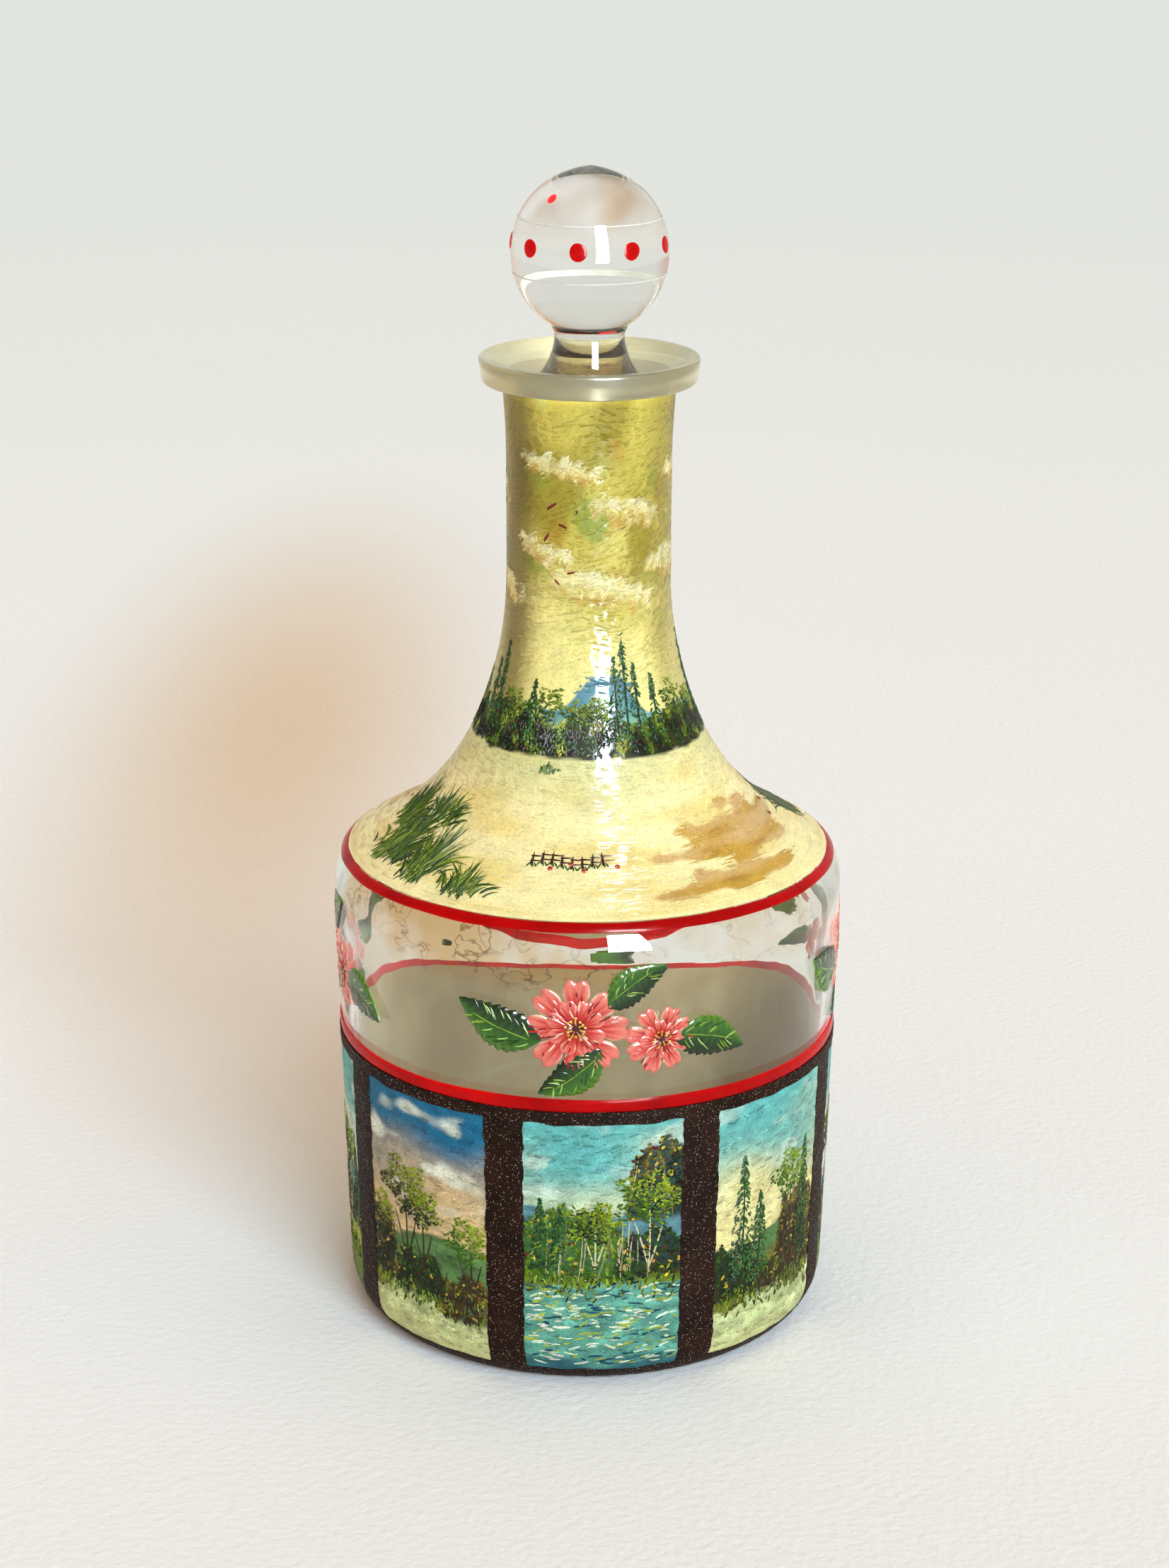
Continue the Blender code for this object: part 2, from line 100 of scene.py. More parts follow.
def softened(line, reach):
    """The line, its points a soft step apart, with the shoulder's edge rounded as hot glass rounds it."""
    span = np.arange(-3 * reach, 3 * reach, SOFT_STEP)
    weights = np.exp(-0.5 * (span / reach) ** 2)
    height = line[:, 1]
    near = ease(SOFT_FROM, SOFT_FROM + SOFT_FADE, height) * (1 - ease(SOFT_TO - SOFT_FADE, SOFT_TO, height))
    smooth = np.stack([np.convolve(line[:, i], weights / weights.sum(), "same") for i in (0, 1)], axis=1)
    return line + near[:, None] * (smooth - line)


def outside_line():
    """The outer face from the foot to under the lip, as close (radius, height) points."""
    t = np.linspace(0, 1, FINE_STEP_COUNT)
    quarter = t * pi / 2
    heel = np.c_[HEEL_RADIUS - HEEL_WIDTH * (1 - np.sin(quarter)), HEEL_HEIGHT * (1 - np.cos(quarter))]
    turn = t * (pi / 2 - SHOULDER_SLOPE)
    edge = np.c_[BODY_RADIUS - EDGE_RADIUS * (1 - np.cos(turn)), WALL_TOP + EDGE_RADIUS * np.sin(turn)]
    radius, foot = edge[-1] + SHOULDER_RUN * np.array([-cos(SHOULDER_SLOPE), sin(SHOULDER_SLOPE)])
    side, top = radius - NECK_RADIUS, foot + FLARE_HEIGHT
    corner = foot + side * tan(SHOULDER_SLOPE)
    near = FLARE_FULLNESS_SHARE
    radii = (radius, radius - near * side, NECK_RADIUS, NECK_RADIUS)
    heights = (foot, foot + near * (corner - foot), top - near * (top - corner), top)
    weights = ((1 - t) ** 3, 3 * t * (1 - t) ** 2, 3 * t**2 * (1 - t), t**3)
    flare = np.c_[sum(w * r for w, r in zip(weights, radii)), sum(w * z for w, z in zip(weights, heights))]
    arc = (COLLAR_HEIGHT**2 + COLLAR_FLARE**2) / (2 * COLLAR_FLARE)
    rise = COLLAR_HEIGHT * t
    foot = top + NECK_LENGTH - COLLAR_HEIGHT
    collar = np.c_[NECK_RADIUS + arc - np.sqrt(arc**2 - rise**2), foot + rise]
    return np.vstack([heel, edge, flare, collar])


# A climb is a distance walked up the outer face from the foot
outline = outside_line()
climbs = np.r_[0, np.cumsum(np.hypot(*np.diff(outline, axis=0).T))]
keep = np.r_[True, np.diff(climbs) > 0]
outline, climbs = outline[keep], climbs[keep]
steps = np.arange(0, climbs[-1], SOFT_STEP)
fine = np.stack([np.interp(steps, climbs, outline[:, i]) for i in (0, 1)], axis=1)
outline, climbs = np.vstack([softened(fine, OUTER_SOFTNESS), outline[-1]]), np.r_[steps, climbs[-1]]
slopes = np.gradient(outline, climbs, axis=0)
slopes /= np.hypot(*slopes.T)[:, None]
lip_foot = outline[-1, 1]
lip_top = lip_foot + LIP_THICKNESS
mouth = lip_top - DISH_DEPTH
seat_foot = mouth - SEAT_LENGTH
seat_foot_radius = SEAT_RADIUS - SEAT_TAPER_SHARE * SEAT_LENGTH


def face(climb, off=0.0):
    """Radius and height of the outer face at a climb, off it by a distance."""
    radius, height = (np.interp(climb, climbs, outline[:, i]) for i in (0, 1))
    out, up = np.interp(climb, climbs, slopes[:, 1]), -np.interp(climb, climbs, slopes[:, 0])
    return radius + off * out, height + off * up


def climb_to(height):
    """The climb at which the outer face reaches a height."""
    return float(np.interp(height, outline[:, 1], climbs))


def ripple(angle, climb, size, seed):
    """A smooth uneven field of about -1 to 1 over the bottle, with no seam; size is that of its lumps."""
    draw = np.random.default_rng(seed)
    total = 0.0
    for way in (np.arange(14) + draw.uniform(0, 1, 14)) * pi / 14:
        pull = pi / size * draw.uniform(0.6, 1.25)
        turns = round(pull * cos(way) * 0.04)
        total = total + np.sin(turns * np.radians(angle) + pull * sin(way) * climb + draw.uniform(0, 2 * pi))
    return total / sqrt(14) * 0.85


def walk_up(low, high):
    """Climbs between two climbs, close together round the shoulder's edge, where the glass bends the view."""
    edge_low = climb_to(WALL_TOP) - EDGE_REACH
    edge_high = climb_to(WALL_TOP) + EDGE_RADIUS + EDGE_REACH
    spans = ((low, edge_low, GLASS_ROW), (edge_low, edge_high, EDGE_ROW), (edge_high, high, GLASS_ROW))
    steps = []
    for start, end, row in spans:
        steps.append(np.linspace(start, end, max(round((end - start) / row), 1), endpoint=False))
    return np.r_[np.concatenate(steps), high]


def inside_line():
    """The cavity from the foot of the ground seat down to the centre of the floor."""
    bore = NECK_RADIUS - NECK_WALL
    t = np.linspace(0, 1, CURVE_STEP_COUNT)
    widening = (bore - seat_foot_radius) * (1 - np.cos(pi * t)) / 2
    ledge = np.c_[seat_foot_radius + widening, seat_foot - LEDGE_HEIGHT * t]
    low, high = climb_to(BASE_THICKNESS + INNER_HEEL), climb_to(seat_foot - LEDGE_HEIGHT - GLASS_ROW)
    fine = np.arange(low, high, SOFT_STEP)
    share = np.clip((face(fine)[1] - WALL_TOP) / (lip_foot - NECK_LENGTH - WALL_TOP), 0, 1)
    soft = softened(np.c_[face(fine, -(WALL + (NECK_WALL - WALL) * share))], INNER_SOFTNESS)
    wall = np.stack([np.interp(walk_up(low, high), fine, soft[:, i]) for i in (0, 1)], axis=1)[::-1]
    corner, turn = wall[-1], t[1:] * pi / 2
    heel = np.c_[corner[0] - INNER_HEEL * (1 - np.cos(turn)), corner[1] - INNER_HEEL * np.sin(turn)]
    floor = np.c_[heel[-1, 0] * (1 - t[1:]), heel[-1, 1] + PUNT_RISE * (1 - (1 - t[1:]) ** 2)]
    return np.vstack([ledge, wall, heel, floor])


def glass_line():
    """The whole cut through the glass, from under the punt round the lip to the cavity's floor."""
    t = np.linspace(0, 1, CURVE_STEP_COUNT)
    rim = HEEL_RADIUS - HEEL_WIDTH - FOOT_RING_WIDTH
    punt = np.c_[rim * t, PUNT_RISE * (1 - t**2)]
    wall = np.c_[face(walk_up(0, climbs[-1]))]
    low, turn = LIP_RADIUS - LIP_UNDERCUT, t * pi / 2
    under = np.c_[low - LIP_ROUNDING * (1 - np.sin(turn)), lip_foot + LIP_ROUNDING * (1 - np.cos(turn))]
    over = np.c_[LIP_RADIUS - LIP_ROUNDING * (1 - np.cos(turn)), lip_top - LIP_ROUNDING * (1 - np.sin(turn))]
    dish_rim = LIP_RADIUS - LIP_ROUNDING - LIP_RIM_WIDTH
    dish = np.c_[dish_rim - (dish_rim - SEAT_RADIUS) * t, lip_top - DISH_DEPTH * (1 - (1 - t) ** 2)]
    seat = np.c_[SEAT_RADIUS + (seat_foot_radius - SEAT_RADIUS) * t[1:-1], mouth - SEAT_LENGTH * t[1:-1]]
    return np.vstack([punt, wall, under, over, dish, seat, inside_line()])


def start_piece(name, primitive, **sizes):
    """Adds a primitive on its own, with nothing else selected, and names it."""
    bpy.ops.object.select_all(action="DESELECT")
    primitive(**sizes)
    piece = bpy.context.active_object
    piece.name = piece.data.name = name
    return piece


def turned(name, line, side_count):
    """Draws half the outline point by point, from axis to axis, and spins it into a closed body."""
    piece = start_piece(name, bpy.ops.mesh.primitive_plane_add, size=GLASS_ROW)
    bpy.ops.object.mode_set(mode="EDIT")
    bpy.ops.mesh.merge(type="CENTER")
    bpy.ops.transform.translate(value=(line[0][0], 0, line[0][1]))
    for step in np.diff(line, axis=0):
        if np.hypot(*step) > JOIN_DISTANCE:
            bpy.ops.mesh.extrude_region_move(TRANSFORM_OT_translate={"value": (step[0], 0, step[1])})
    bpy.ops.mesh.select_all(action="SELECT")
    bpy.ops.mesh.spin(steps=side_count, angle=2 * pi, center=(0, 0, 0), axis=(0, 0, 1))
    bpy.ops.mesh.select_all(action="SELECT")
    bpy.ops.mesh.remove_doubles(threshold=JOIN_DISTANCE)
    bpy.ops.mesh.normals_make_consistent(inside=False)
    bpy.ops.object.mode_set(mode="OBJECT")
    bpy.ops.object.shade_smooth_by_angle(angle=radians(GLASS_SMOOTH_ANGLE))
    return piece


def points_of(piece):
    """The piece's vertices as an array."""
    points = np.zeros(len(piece.data.vertices) * 3)
    piece.data.vertices.foreach_get("co", points)
    return points.reshape(-1, 3)


def move_points(piece, points):
    """Puts the piece's vertices where the array says."""
    piece.data.vertices.foreach_set("co", np.asarray(points, float).ravel())
    piece.data.update()


def new_material(name):
    """A node material with its shader."""
    material = bpy.data.materials.new(name)
    material.use_nodes = True
    return material, material.node_tree.nodes["Principled BSDF"]


def add(material, kind, inputs=(), **settings):
    """Adds a node, sets what it is and links or sets its inputs; returns its first output."""
    node = material.node_tree.nodes.new(kind)
    for key, value in settings.items():
        setattr(node, key, value)
    for key, value in dict(inputs).items():
        if isinstance(value, bpy.types.NodeSocket):
            material.node_tree.links.new(value, node.inputs[key])
        else:
            node.inputs[key].default_value = value
    return node.outputs[0]


def combine(material, operation, first, second=0.0):
    """Multiplies, adds or otherwise combines two outputs or numbers."""
    return add(material, "ShaderNodeMath", {0: first, 1: second}, operation=operation)


def link(material, output, shader, socket):
    """Links an output to one of the shader's sockets."""
    material.node_tree.links.new(output, shader.inputs[socket])


def tint(red, green, blue):
    """A colour as a painter reads it off a card, 0 to 255, turned into light."""
    card = np.array([red, green, blue]) / 255
    return np.where(card <= 0.04045, card / 12.92, ((card + 0.055) / 1.055) ** 2.4)


def blend(material, share, first, second):
    """Mixes two colours, or two outputs, by a share."""
    sides = {"A": first, "B": second}
    node = material.node_tree.nodes.new("ShaderNodeMix")
    node.data_type = "RGBA"
    sockets = {"A": node.inputs[6], "B": node.inputs[7]}
    for key, value in sides.items():
        if isinstance(value, bpy.types.NodeSocket):
            material.node_tree.links.new(value, sockets[key])
        else:
            sockets[key].default_value = (*value, 1)
    material.node_tree.links.new(share, node.inputs[0])
    return node.outputs[2]


def spread(material, value, low, high, to_low=0.0, to_high=1.0):
    """Maps a value's range to another, clamped."""
    return add(
        material, "ShaderNodeMapRange",
        {"Value": value, "From Min": low, "From Max": high, "To Min": to_low, "To Max": to_high},
    )


def place_of(material, stretch=(1, 1, 1)):
    """The place on the object, stretched where a pattern runs one way."""
    where = material.node_tree.nodes.new("ShaderNodeTexCoord").outputs["Object"]
    return add(material, "ShaderNodeMapping", {"Vector": where, "Scale": stretch})


def noise(material, where, scale, detail=4.0, rough=0.55):
    """A cloud of noise, 0 to 1, at a number of lumps per metre."""
    return add(
        material, "ShaderNodeTexNoise",
        {"Vector": where, "Scale": scale, "Detail": detail, "Roughness": rough},
    )


def bump(material, shader, height, depth, strength=1.0):
    """Raises the surface in the light by a height pattern."""
    raised = add(material, "ShaderNodeBump", {"Height": height, "Distance": depth, "Strength": strength})
    link(material, raised, shader, "Normal")


def let_light_through(material, shader):
    """Clear glass casts a faint shadow: most of the lamps' light goes on through it."""
    shadow = material.node_tree.nodes.new("ShaderNodeLightPath").outputs["Is Shadow Ray"]
    link(material, spread(material, shadow, 0, 1, 1, 0.12), shader, "Alpha")


def glass_finish():
    """Clear glass, faintly green, with a satin ground lip and a few long cooling marks. Below the shoulder
    are thin smears with brown rims, where the paint above was wiped off, fainter towards the right."""
    material, shader = new_material("blown clear glass")
    where = place_of(material)
    height = add(material, "ShaderNodeSeparateXYZ", {"Vector": where}).node.outputs["Z"]
    satin = spread(material, height, lip_foot - LIP_ROUNDING / 2, lip_foot + LIP_ROUNDING / 2)
    tone = blend(material, noise(material, where, 60.0, 2.0), tint(186, 177, 140), tint(206, 198, 164))
    zone = spread(material, height, SMEARS_FROM, SMEARS_FROM + 0.005)
    zone = combine(material, "MULTIPLY", zone, spread(material, height, SMEARS_TO, SMEARS_TO - 0.002))
    drops = noise(material, place_of(material, (1, 1, 1.5)), 75.0, 3.0)
    rims = combine(material, "SUBTRACT", drops, 0.52)
    rims = spread(material, combine(material, "ABSOLUTE", rims), 0.014, 0.002, 0, 0.95)
    smears = spread(material, noise(material, where, 45.0, 3.0), 0.38, 0.52, 0, 0.95)
    smears = combine(material, "MULTIPLY", zone, smears)
    side = spread(material, height.node.outputs["X"], 0.050, 0.0, 0.35, 1.0)
    smears = combine(material, "MULTIPLY", smears, side)
    rims = combine(material, "MULTIPLY", smears, rims)
    clear = blend(material, smears, (0.965, 0.985, 0.962), tint(234, 208, 160))
    clear = blend(material, rims, clear, tint(104, 66, 30))
    link(material, blend(material, satin, clear, tone), shader, "Base Color")
    rough = combine(material, "MULTIPLY", satin, 0.22)
    link(material, combine(material, "ADD", rough, 0.012), shader, "Roughness")
    clear = combine(material, "MULTIPLY", satin, -0.36)
    link(material, combine(material, "ADD", clear, 1.0), shader, "Transmission Weight")
    shader.inputs["IOR"].default_value = 1.5
    let_light_through(material, shader)
    drawn = noise(material, place_of(material, (1, 1, 0.25)), 55.0, 2.0)
    below = spread(material, height, lip_foot - 0.02, WAVES_FULL + 0.01)
    edge = combine(material, "MULTIPLY", spread(material, height, WAVES_FROM, WAVES_FULL), below)
    waves = noise(material, place_of(material, (1, 1, 0.6)), 80.0, 1.0)
    waves = combine(material, "MULTIPLY", waves, edge)
    waves = combine(material, "MULTIPLY", waves, 0.7)
    bump(material, shader, combine(material, "ADD", drawn, waves), 0.0006, 0.35)
    return material


bottle = turned("blown_bottle", glass_line(), GLASS_SIDE_COUNT)
points = points_of(bottle)
radius, around = np.hypot(points[:, 0], points[:, 1]), np.degrees(np.arctan2(points[:, 0], -points[:, 1]))
outer = np.interp(points[:, 2], outline[:, 1], outline[:, 0])
inner = (points[:, 2] > BASE_THICKNESS + INNER_HEEL) & (points[:, 2] < seat_foot - LEDGE_HEIGHT)
inner &= radius < outer - WALL / 2
waves = WALL_UNEVENNESS * ripple(around, points[:, 2] * 0.6, UNEVEN_SIZE, 3)
uneven = 1 + inner * waves / np.maximum(radius, WALL)
points[:, :2] *= uneven[:, None]
move_points(bottle, points)
bottle.data.materials.append(glass_finish())
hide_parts("bottle_glass")
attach(bottle, "bottle")


# The undercoat. A thin, warm grey-brown primer brushed straight on to the glass before the painting. It is
# what shows through the bare band as the back of the work, and it sits tight on the glass.
UNDERCOAT_TOP = 0.00010
UNDERCOAT_FOOT = -0.00006
BELLY_PAINT_FOOT = 0.0010
BELLY_PAINT_TOP = 0.0724
STRIPE_RISE = 0.0059
STRIPE_WIDTH = 0.0025
STRIPE_GAP = 0.0003
COAT_FOOT_CLIMB = climb_to(WALL_TOP) + STRIPE_RISE + STRIPE_WIDTH + STRIPE_GAP
COAT_TOP_CLIMB = climb_to(lip_foot - 0.0003)
PRIMER_ROW = 0.0020
PRIMER_COLUMN_COUNT = 144
BACK_ROW = 0.003


def on_bottle(angle, climb, off=0.0):
    """The point at an angle round from the front, in degrees towards +X, and a climb, off the glass."""
    radius, height = face(climb, off)
    radius, height, angle = np.broadcast_arrays(radius, height, np.radians(angle))
    return np.stack([radius * np.sin(angle), -radius * np.cos(angle), height], axis=-1)


def flat_sheet(name, column_count, row_count):
    """A flat sheet of squares; its vertices run along each row, and the rows run up."""
    squares = {"x_subdivisions": column_count - 1, "y_subdivisions": row_count - 1}
    return start_piece(name, bpy.ops.mesh.primitive_grid_add, size=1, **squares)


def close_seams(piece, smooth_angle=50):
    """Merges the edges that meet, turns the faces out and shades the piece smooth but for its sharp edges."""
    bpy.ops.object.select_all(action="DESELECT")
    piece.select_set(True)
    bpy.context.view_layer.objects.active = piece
    bpy.ops.object.mode_set(mode="EDIT")
    bpy.ops.mesh.select_all(action="SELECT")
    bpy.ops.mesh.remove_doubles(threshold=JOIN_DISTANCE)
    bpy.ops.mesh.normals_make_consistent(inside=False)
    bpy.ops.object.mode_set(mode="OBJECT")
    bpy.ops.object.shade_smooth_by_angle(angle=radians(smooth_angle))


def colour_points(piece, colours):
    """Gives each vertex its colour of paint."""
    layer = piece.data.color_attributes.new("paint", "FLOAT_COLOR", "POINT")
    layer.data.foreach_set("color", np.c_[np.clip(colours, 0, 1), np.ones(len(colours))].ravel())


def ring_coat(name, low, high, row, column_count, top, foot, colour=None, wander=None):
    """A closed coat all round between two climbs: a sheet rolled round the bottle and folded back on itself.
    The lift of its front, its colour and the wander of its climbs may be functions of angle and climb."""
    rows = np.linspace(low, high, max(round((high - low) / row), 2) + 1)
    backs = np.linspace(high, low, max(round((high - low) / BACK_ROW), 2) + 1)
    section = np.r_[rows, backs, rows[:1]]
    in_front = np.r_[np.ones(len(rows), bool), np.zeros(len(backs), bool), True]
    piece = flat_sheet(name, column_count + 1, len(section))
    angle = np.tile(np.linspace(0, 360, column_count + 1), len(section))
    climb, in_front = (np.repeat(values, column_count + 1) for values in (section, in_front))
    lift = np.where(in_front, top(angle, climb) if callable(top) else top, foot)
    shift = wander(angle, climb) if wander else 0
    move_points(piece, on_bottle(angle, climb + shift, lift))
    if colour:
        colour_points(piece, colour(angle, climb))
    close_seams(piece)
    return piece


def primer_finish():
    """Matt grey-brown primer with long soft brush bands, and brown rims where drops of it dried on the
    shoulder."""
    material, shader = new_material("grey brown primer")
    where = place_of(material)
    bands = noise(material, place_of(material, (1, 1, 0.12)), 60.0, 3.0)
    cloudy = noise(material, where, 40.0, 5.0)
    tone = blend(material, spread(material, bands, 0.35, 0.65), tint(146, 123, 78), tint(168, 145, 104))
    tone = blend(material, spread(material, cloudy, 0.45, 0.75), tone, tint(134, 107, 62))
    drops = noise(material, place_of(material, (1, 1, 1.8)), 95.0, 3.0)
    rims = combine(material, "SUBTRACT", drops, 0.52)
    rims = spread(material, combine(material, "ABSOLUTE", rims), 0.016, 0.004)
    some = spread(material, noise(material, where, 50.0, 2.0), 0.46, 0.56, 0, 0.8)
    height = add(material, "ShaderNodeSeparateXYZ", {"Vector": where}).node.outputs["Z"]
    on_shoulder = spread(material, height, WALL_TOP, WALL_TOP + EDGE_RADIUS)
    rims = combine(material, "MULTIPLY", rims, some)
    rims = combine(material, "MULTIPLY", rims, on_shoulder)
    link(material, blend(material, rims, tone, tint(122, 84, 40)), shader, "Base Color")
    shader.inputs["Roughness"].default_value = 0.75
    bump(material, shader, bands, 0.0002)
    return material


primer = primer_finish()
belly_climbs = (climb_to(BELLY_PAINT_FOOT), climb_to(BELLY_PAINT_TOP))
undercoats = {
    "undercoat_belly": (*belly_climbs, "picture_frame_coat", "frame_paint"),
    "undercoat_shoulder": (COAT_FOOT_CLIMB, COAT_TOP_CLIMB, "neck_and_shoulder_coat", "sky_paint"),
}
for name, (low, high, node_name, slot_name) in undercoats.items():
    coat = ring_coat(name, low, high, PRIMER_ROW, PRIMER_COLUMN_COUNT, UNDERCOAT_TOP, UNDERCOAT_FOOT)
    coat.data.materials.append(primer)
    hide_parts(node_name)
    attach(coat, "bottle")


# The coat on the shoulder and neck. Varnished oil paint, brushed over the undercoat all round in one view: a
# golden sky with cream clouds and painted shade darkening it round the neck's sides, far blue hills and a
# dark wood where the neck flares, then a straw meadow with ochre fields and grass down to the red stripe.
COAT_LIFT = 0.00034
COAT_RELIEF = 0.00005
COAT_ROW = 0.00064
COAT_COLUMN_COUNT = 480
COAT_PARTING = 0.1500
WOOD_FOOT = climb_to(0.1475)
WOOD_DEPTH = 0.0120
HILL_HEIGHT = 0.0105
SKY_GOLD, SKY_OLIVE, SKY_GREEN = tint(208, 190, 82), tint(166, 148, 44), tint(148, 160, 54)
SKY_PALE, SKY_MINT, SKY_OCHRE = tint(250, 234, 148), tint(180, 206, 140), tint(196, 136, 44)
SKY_PAINTED_SHADE = tint(104, 86, 30)
HILL_BLUE, HILL_TEAL, MIST = tint(44, 126, 156), tint(64, 156, 150), tint(160, 206, 150)
WOOD_DARK, WOOD_GREEN = tint(20, 26, 2), tint(44, 58, 4)
STRAW, STRAW_PALE, STRAW_GREEN = tint(244, 218, 138), tint(254, 236, 170), tint(214, 210, 144)
FIELD_OCHRE, FIELD_TAN, FIELD_BROWN = tint(206, 158, 58), tint(218, 176, 112), tint(166, 118, 48)
CLOUD_CREAM, CLOUD_WHITE, CLOUD_UNDER = tint(244, 226, 148), tint(254, 244, 190), tint(206, 164, 72)
# Clouds: middle angle, height, half width and half height in metres, slant in degrees
CLOUDS = [
    (-22, 0.2150, 0.0105, 0.0030, -8), (30, 0.2045, 0.0100, 0.0034, -12),
    (-30, 0.1945, 0.0085, 0.0026, -16), (10, 0.1860, 0.0150, 0.0042, -14),
    (96, 0.2140, 0.0120, 0.0036, 10), (80, 0.1900, 0.0130, 0.0046, -10),
    (150, 0.2020, 0.0130, 0.0044, 12), (-110, 0.2090, 0.0120, 0.0040, -12),
    (-150, 0.1860, 0.0150, 0.0046, 10), (-80, 0.1850, 0.0110, 0.0034, -10),
    (168, 0.1800, 0.0100, 0.0030, 0),
]
# Fields on the meadow: middle angle, middle climb share, half width in degrees, half height as a share
FIELD_SHARES = [(58, 0.42, 34, 0.20), (44, 0.16, 24, 0.075), (150, 0.35, 30, 0.16), (-128, 0.30, 26, 0.15)]


def mixed(first, second, share):
    """Mixes two colours, or rows of colours, by a share for each point."""
    return first + (second - first) * np.asarray(share)[..., None]


def wood_top(angle):
    """How far the wood's crowns reach over its foot."""
    crowns = 0.20 * ripple(angle, 0, 0.010, 21) + 0.12 * np.abs(ripple(angle, 0, 0.003, 22))
    return WOOD_DEPTH * (0.72 + crowns)


def hill_top(angle):
    """How far the hills reach over the wood's foot."""
    low = np.sin(np.radians(3 * angle + 70)) + 0.6 * np.sin(np.radians(7 * angle + 10))
    return WOOD_DEPTH * 0.8 + HILL_HEIGHT * ease(-0.9, 1.5, low)


def coat_colour(angle, climb):
    """The colour of the painted view at each place on the shoulder and neck. Painted shade darkens the neck
    towards its sides, most to the left of the front."""
    angle, climb = np.broadcast_arrays((np.asarray(angle) + 180) % 360 - 180, climb)
    share = (climb - WOOD_FOOT) / (COAT_TOP_CLIMB - WOOD_FOOT)
    patch = ripple(angle, climb, 0.016, 31)
    colour = mixed(SKY_PALE, SKY_GOLD, ease(0.18, 0.62, share + 0.10 * patch))
    colour = mixed(colour, SKY_OLIVE, ease(0.1, 0.9, ripple(angle, climb, 0.020, 32)) * ease(0.3, 0.5, share))
    green = ease(0.3, 1.0, ripple(angle, climb * 1.6, 0.017, 33)) * ease(0.38, 0.5, share)
    colour = mixed(colour, SKY_GREEN, 0.85 * green * (1 - ease(0.72, 0.9, share)))
    mint = ease(0.9, 1.5, ripple(angle, climb, 0.012, 34)) * ease(0.3, 0.45, share)
    colour = mixed(colour, SKY_MINT, 0.5 * mint)
    ochre = ease(0.8, 1.5, ripple(angle, climb * 1.5, 0.010, 35)) * ease(0.1, 0.3, share)
    colour = mixed(colour, SKY_OCHRE, 0.3 * ochre)
    # Painted shade: the neck's sides are darkened in the coat's colour, most to the left of the front
    painted_side_shade = ease(30, 54, -angle) * (1 - 0.5 * ease(62, 84, -angle)) * (1 - ease(100, 140, -angle))
    painted_side_shade += 0.5 * ease(36, 60, angle) * (1 - ease(100, 140, angle))
    colour = mixed(colour, SKY_PAINTED_SHADE, 0.76 * painted_side_shade * ease(0.0, 0.16, share))
    for middle, height, half_width, half_height, slant in CLOUDS:
        across = np.radians((angle - middle + 180) % 360 - 180) * NECK_RADIUS
        up = climb - climb_to(height) - across * sin(radians(slant))
        spot = (across / half_width) ** 2 + (up / half_height) ** 2
        spot = spot + 0.55 * ripple(angle, climb * 1.6, 0.0045, 44)
        lit = up / half_height + 0.5 * ripple(angle, climb, 0.003, 45)
        tone = mixed(CLOUD_UNDER, CLOUD_CREAM, ease(-1.0, -0.1, lit))
        tone = mixed(tone, CLOUD_WHITE, ease(-0.1, 0.7, lit))
        colour = mixed(colour, tone, 0.9 * (1 - ease(0.35, 1.25, spot)))
    over = climb - WOOD_FOOT
    hill = 1 - ease(-0.0004, 0.0004, over - hill_top(angle) + 0.0004 * ripple(angle, climb, 0.002, 36))
    slope = ease(0, 1, over / np.maximum(hill_top(angle), 0.001))
    colour = mixed(colour, mixed(HILL_TEAL, HILL_BLUE, slope), hill * 0.92)
    colour = mixed(colour, MIST, 0.7 * hill * (1 - ease(0.0070, 0.0115, over)))
    wood = 1 - ease(-0.0003, 0.0003, over - wood_top(angle))
    lit = ease(-0.2, 1.2, ripple(angle, climb, 0.0024, 37) + 0.8 * (over / WOOD_DEPTH - 0.5))
    colour = mixed(colour, mixed(WOOD_DARK, WOOD_GREEN, lit), wood)
    down = -over / (WOOD_FOOT - COAT_FOOT_CLIMB)
    meadow = mixed(STRAW_PALE, STRAW, ease(-0.5, 1.0, ripple(angle, climb * 3, 0.014, 38)))
    meadow = mixed(meadow, STRAW_GREEN, 0.75 * (1 - ease(0.02, 0.34, down + 0.10 * patch)))
    height = 1 - down
    for middle, up_share, half_width, half_height in FIELD_SHARES:
        across = ((angle - middle + 180) % 360 - 180) / half_width
        edge = across**2 + ((height - up_share) / half_height) ** 2
        edge = edge + 0.45 * ripple(angle, climb * 2, 0.007, 39)
        streak = ripple(angle, climb * 3.2, 0.011, 40)
        field = mixed(FIELD_TAN, FIELD_OCHRE, ease(-0.5, 0.6, streak))
        field = mixed(field, FIELD_BROWN, 0.55 * ease(0.7, 1.4, ripple(angle, climb * 2.5, 0.006, 41)))
        meadow = mixed(meadow, field, 1 - ease(0.75, 1.0, edge))
    meadow = mixed(meadow, STRAW_PALE, 1 - ease(0.0005, 0.0009, climb - COAT_FOOT_CLIMB))
    bank = 0.0006 * ripple(angle, 0, 0.004, 42)
    return mixed(colour, meadow, 1 - ease(-0.0003, 0.0003, over + bank))


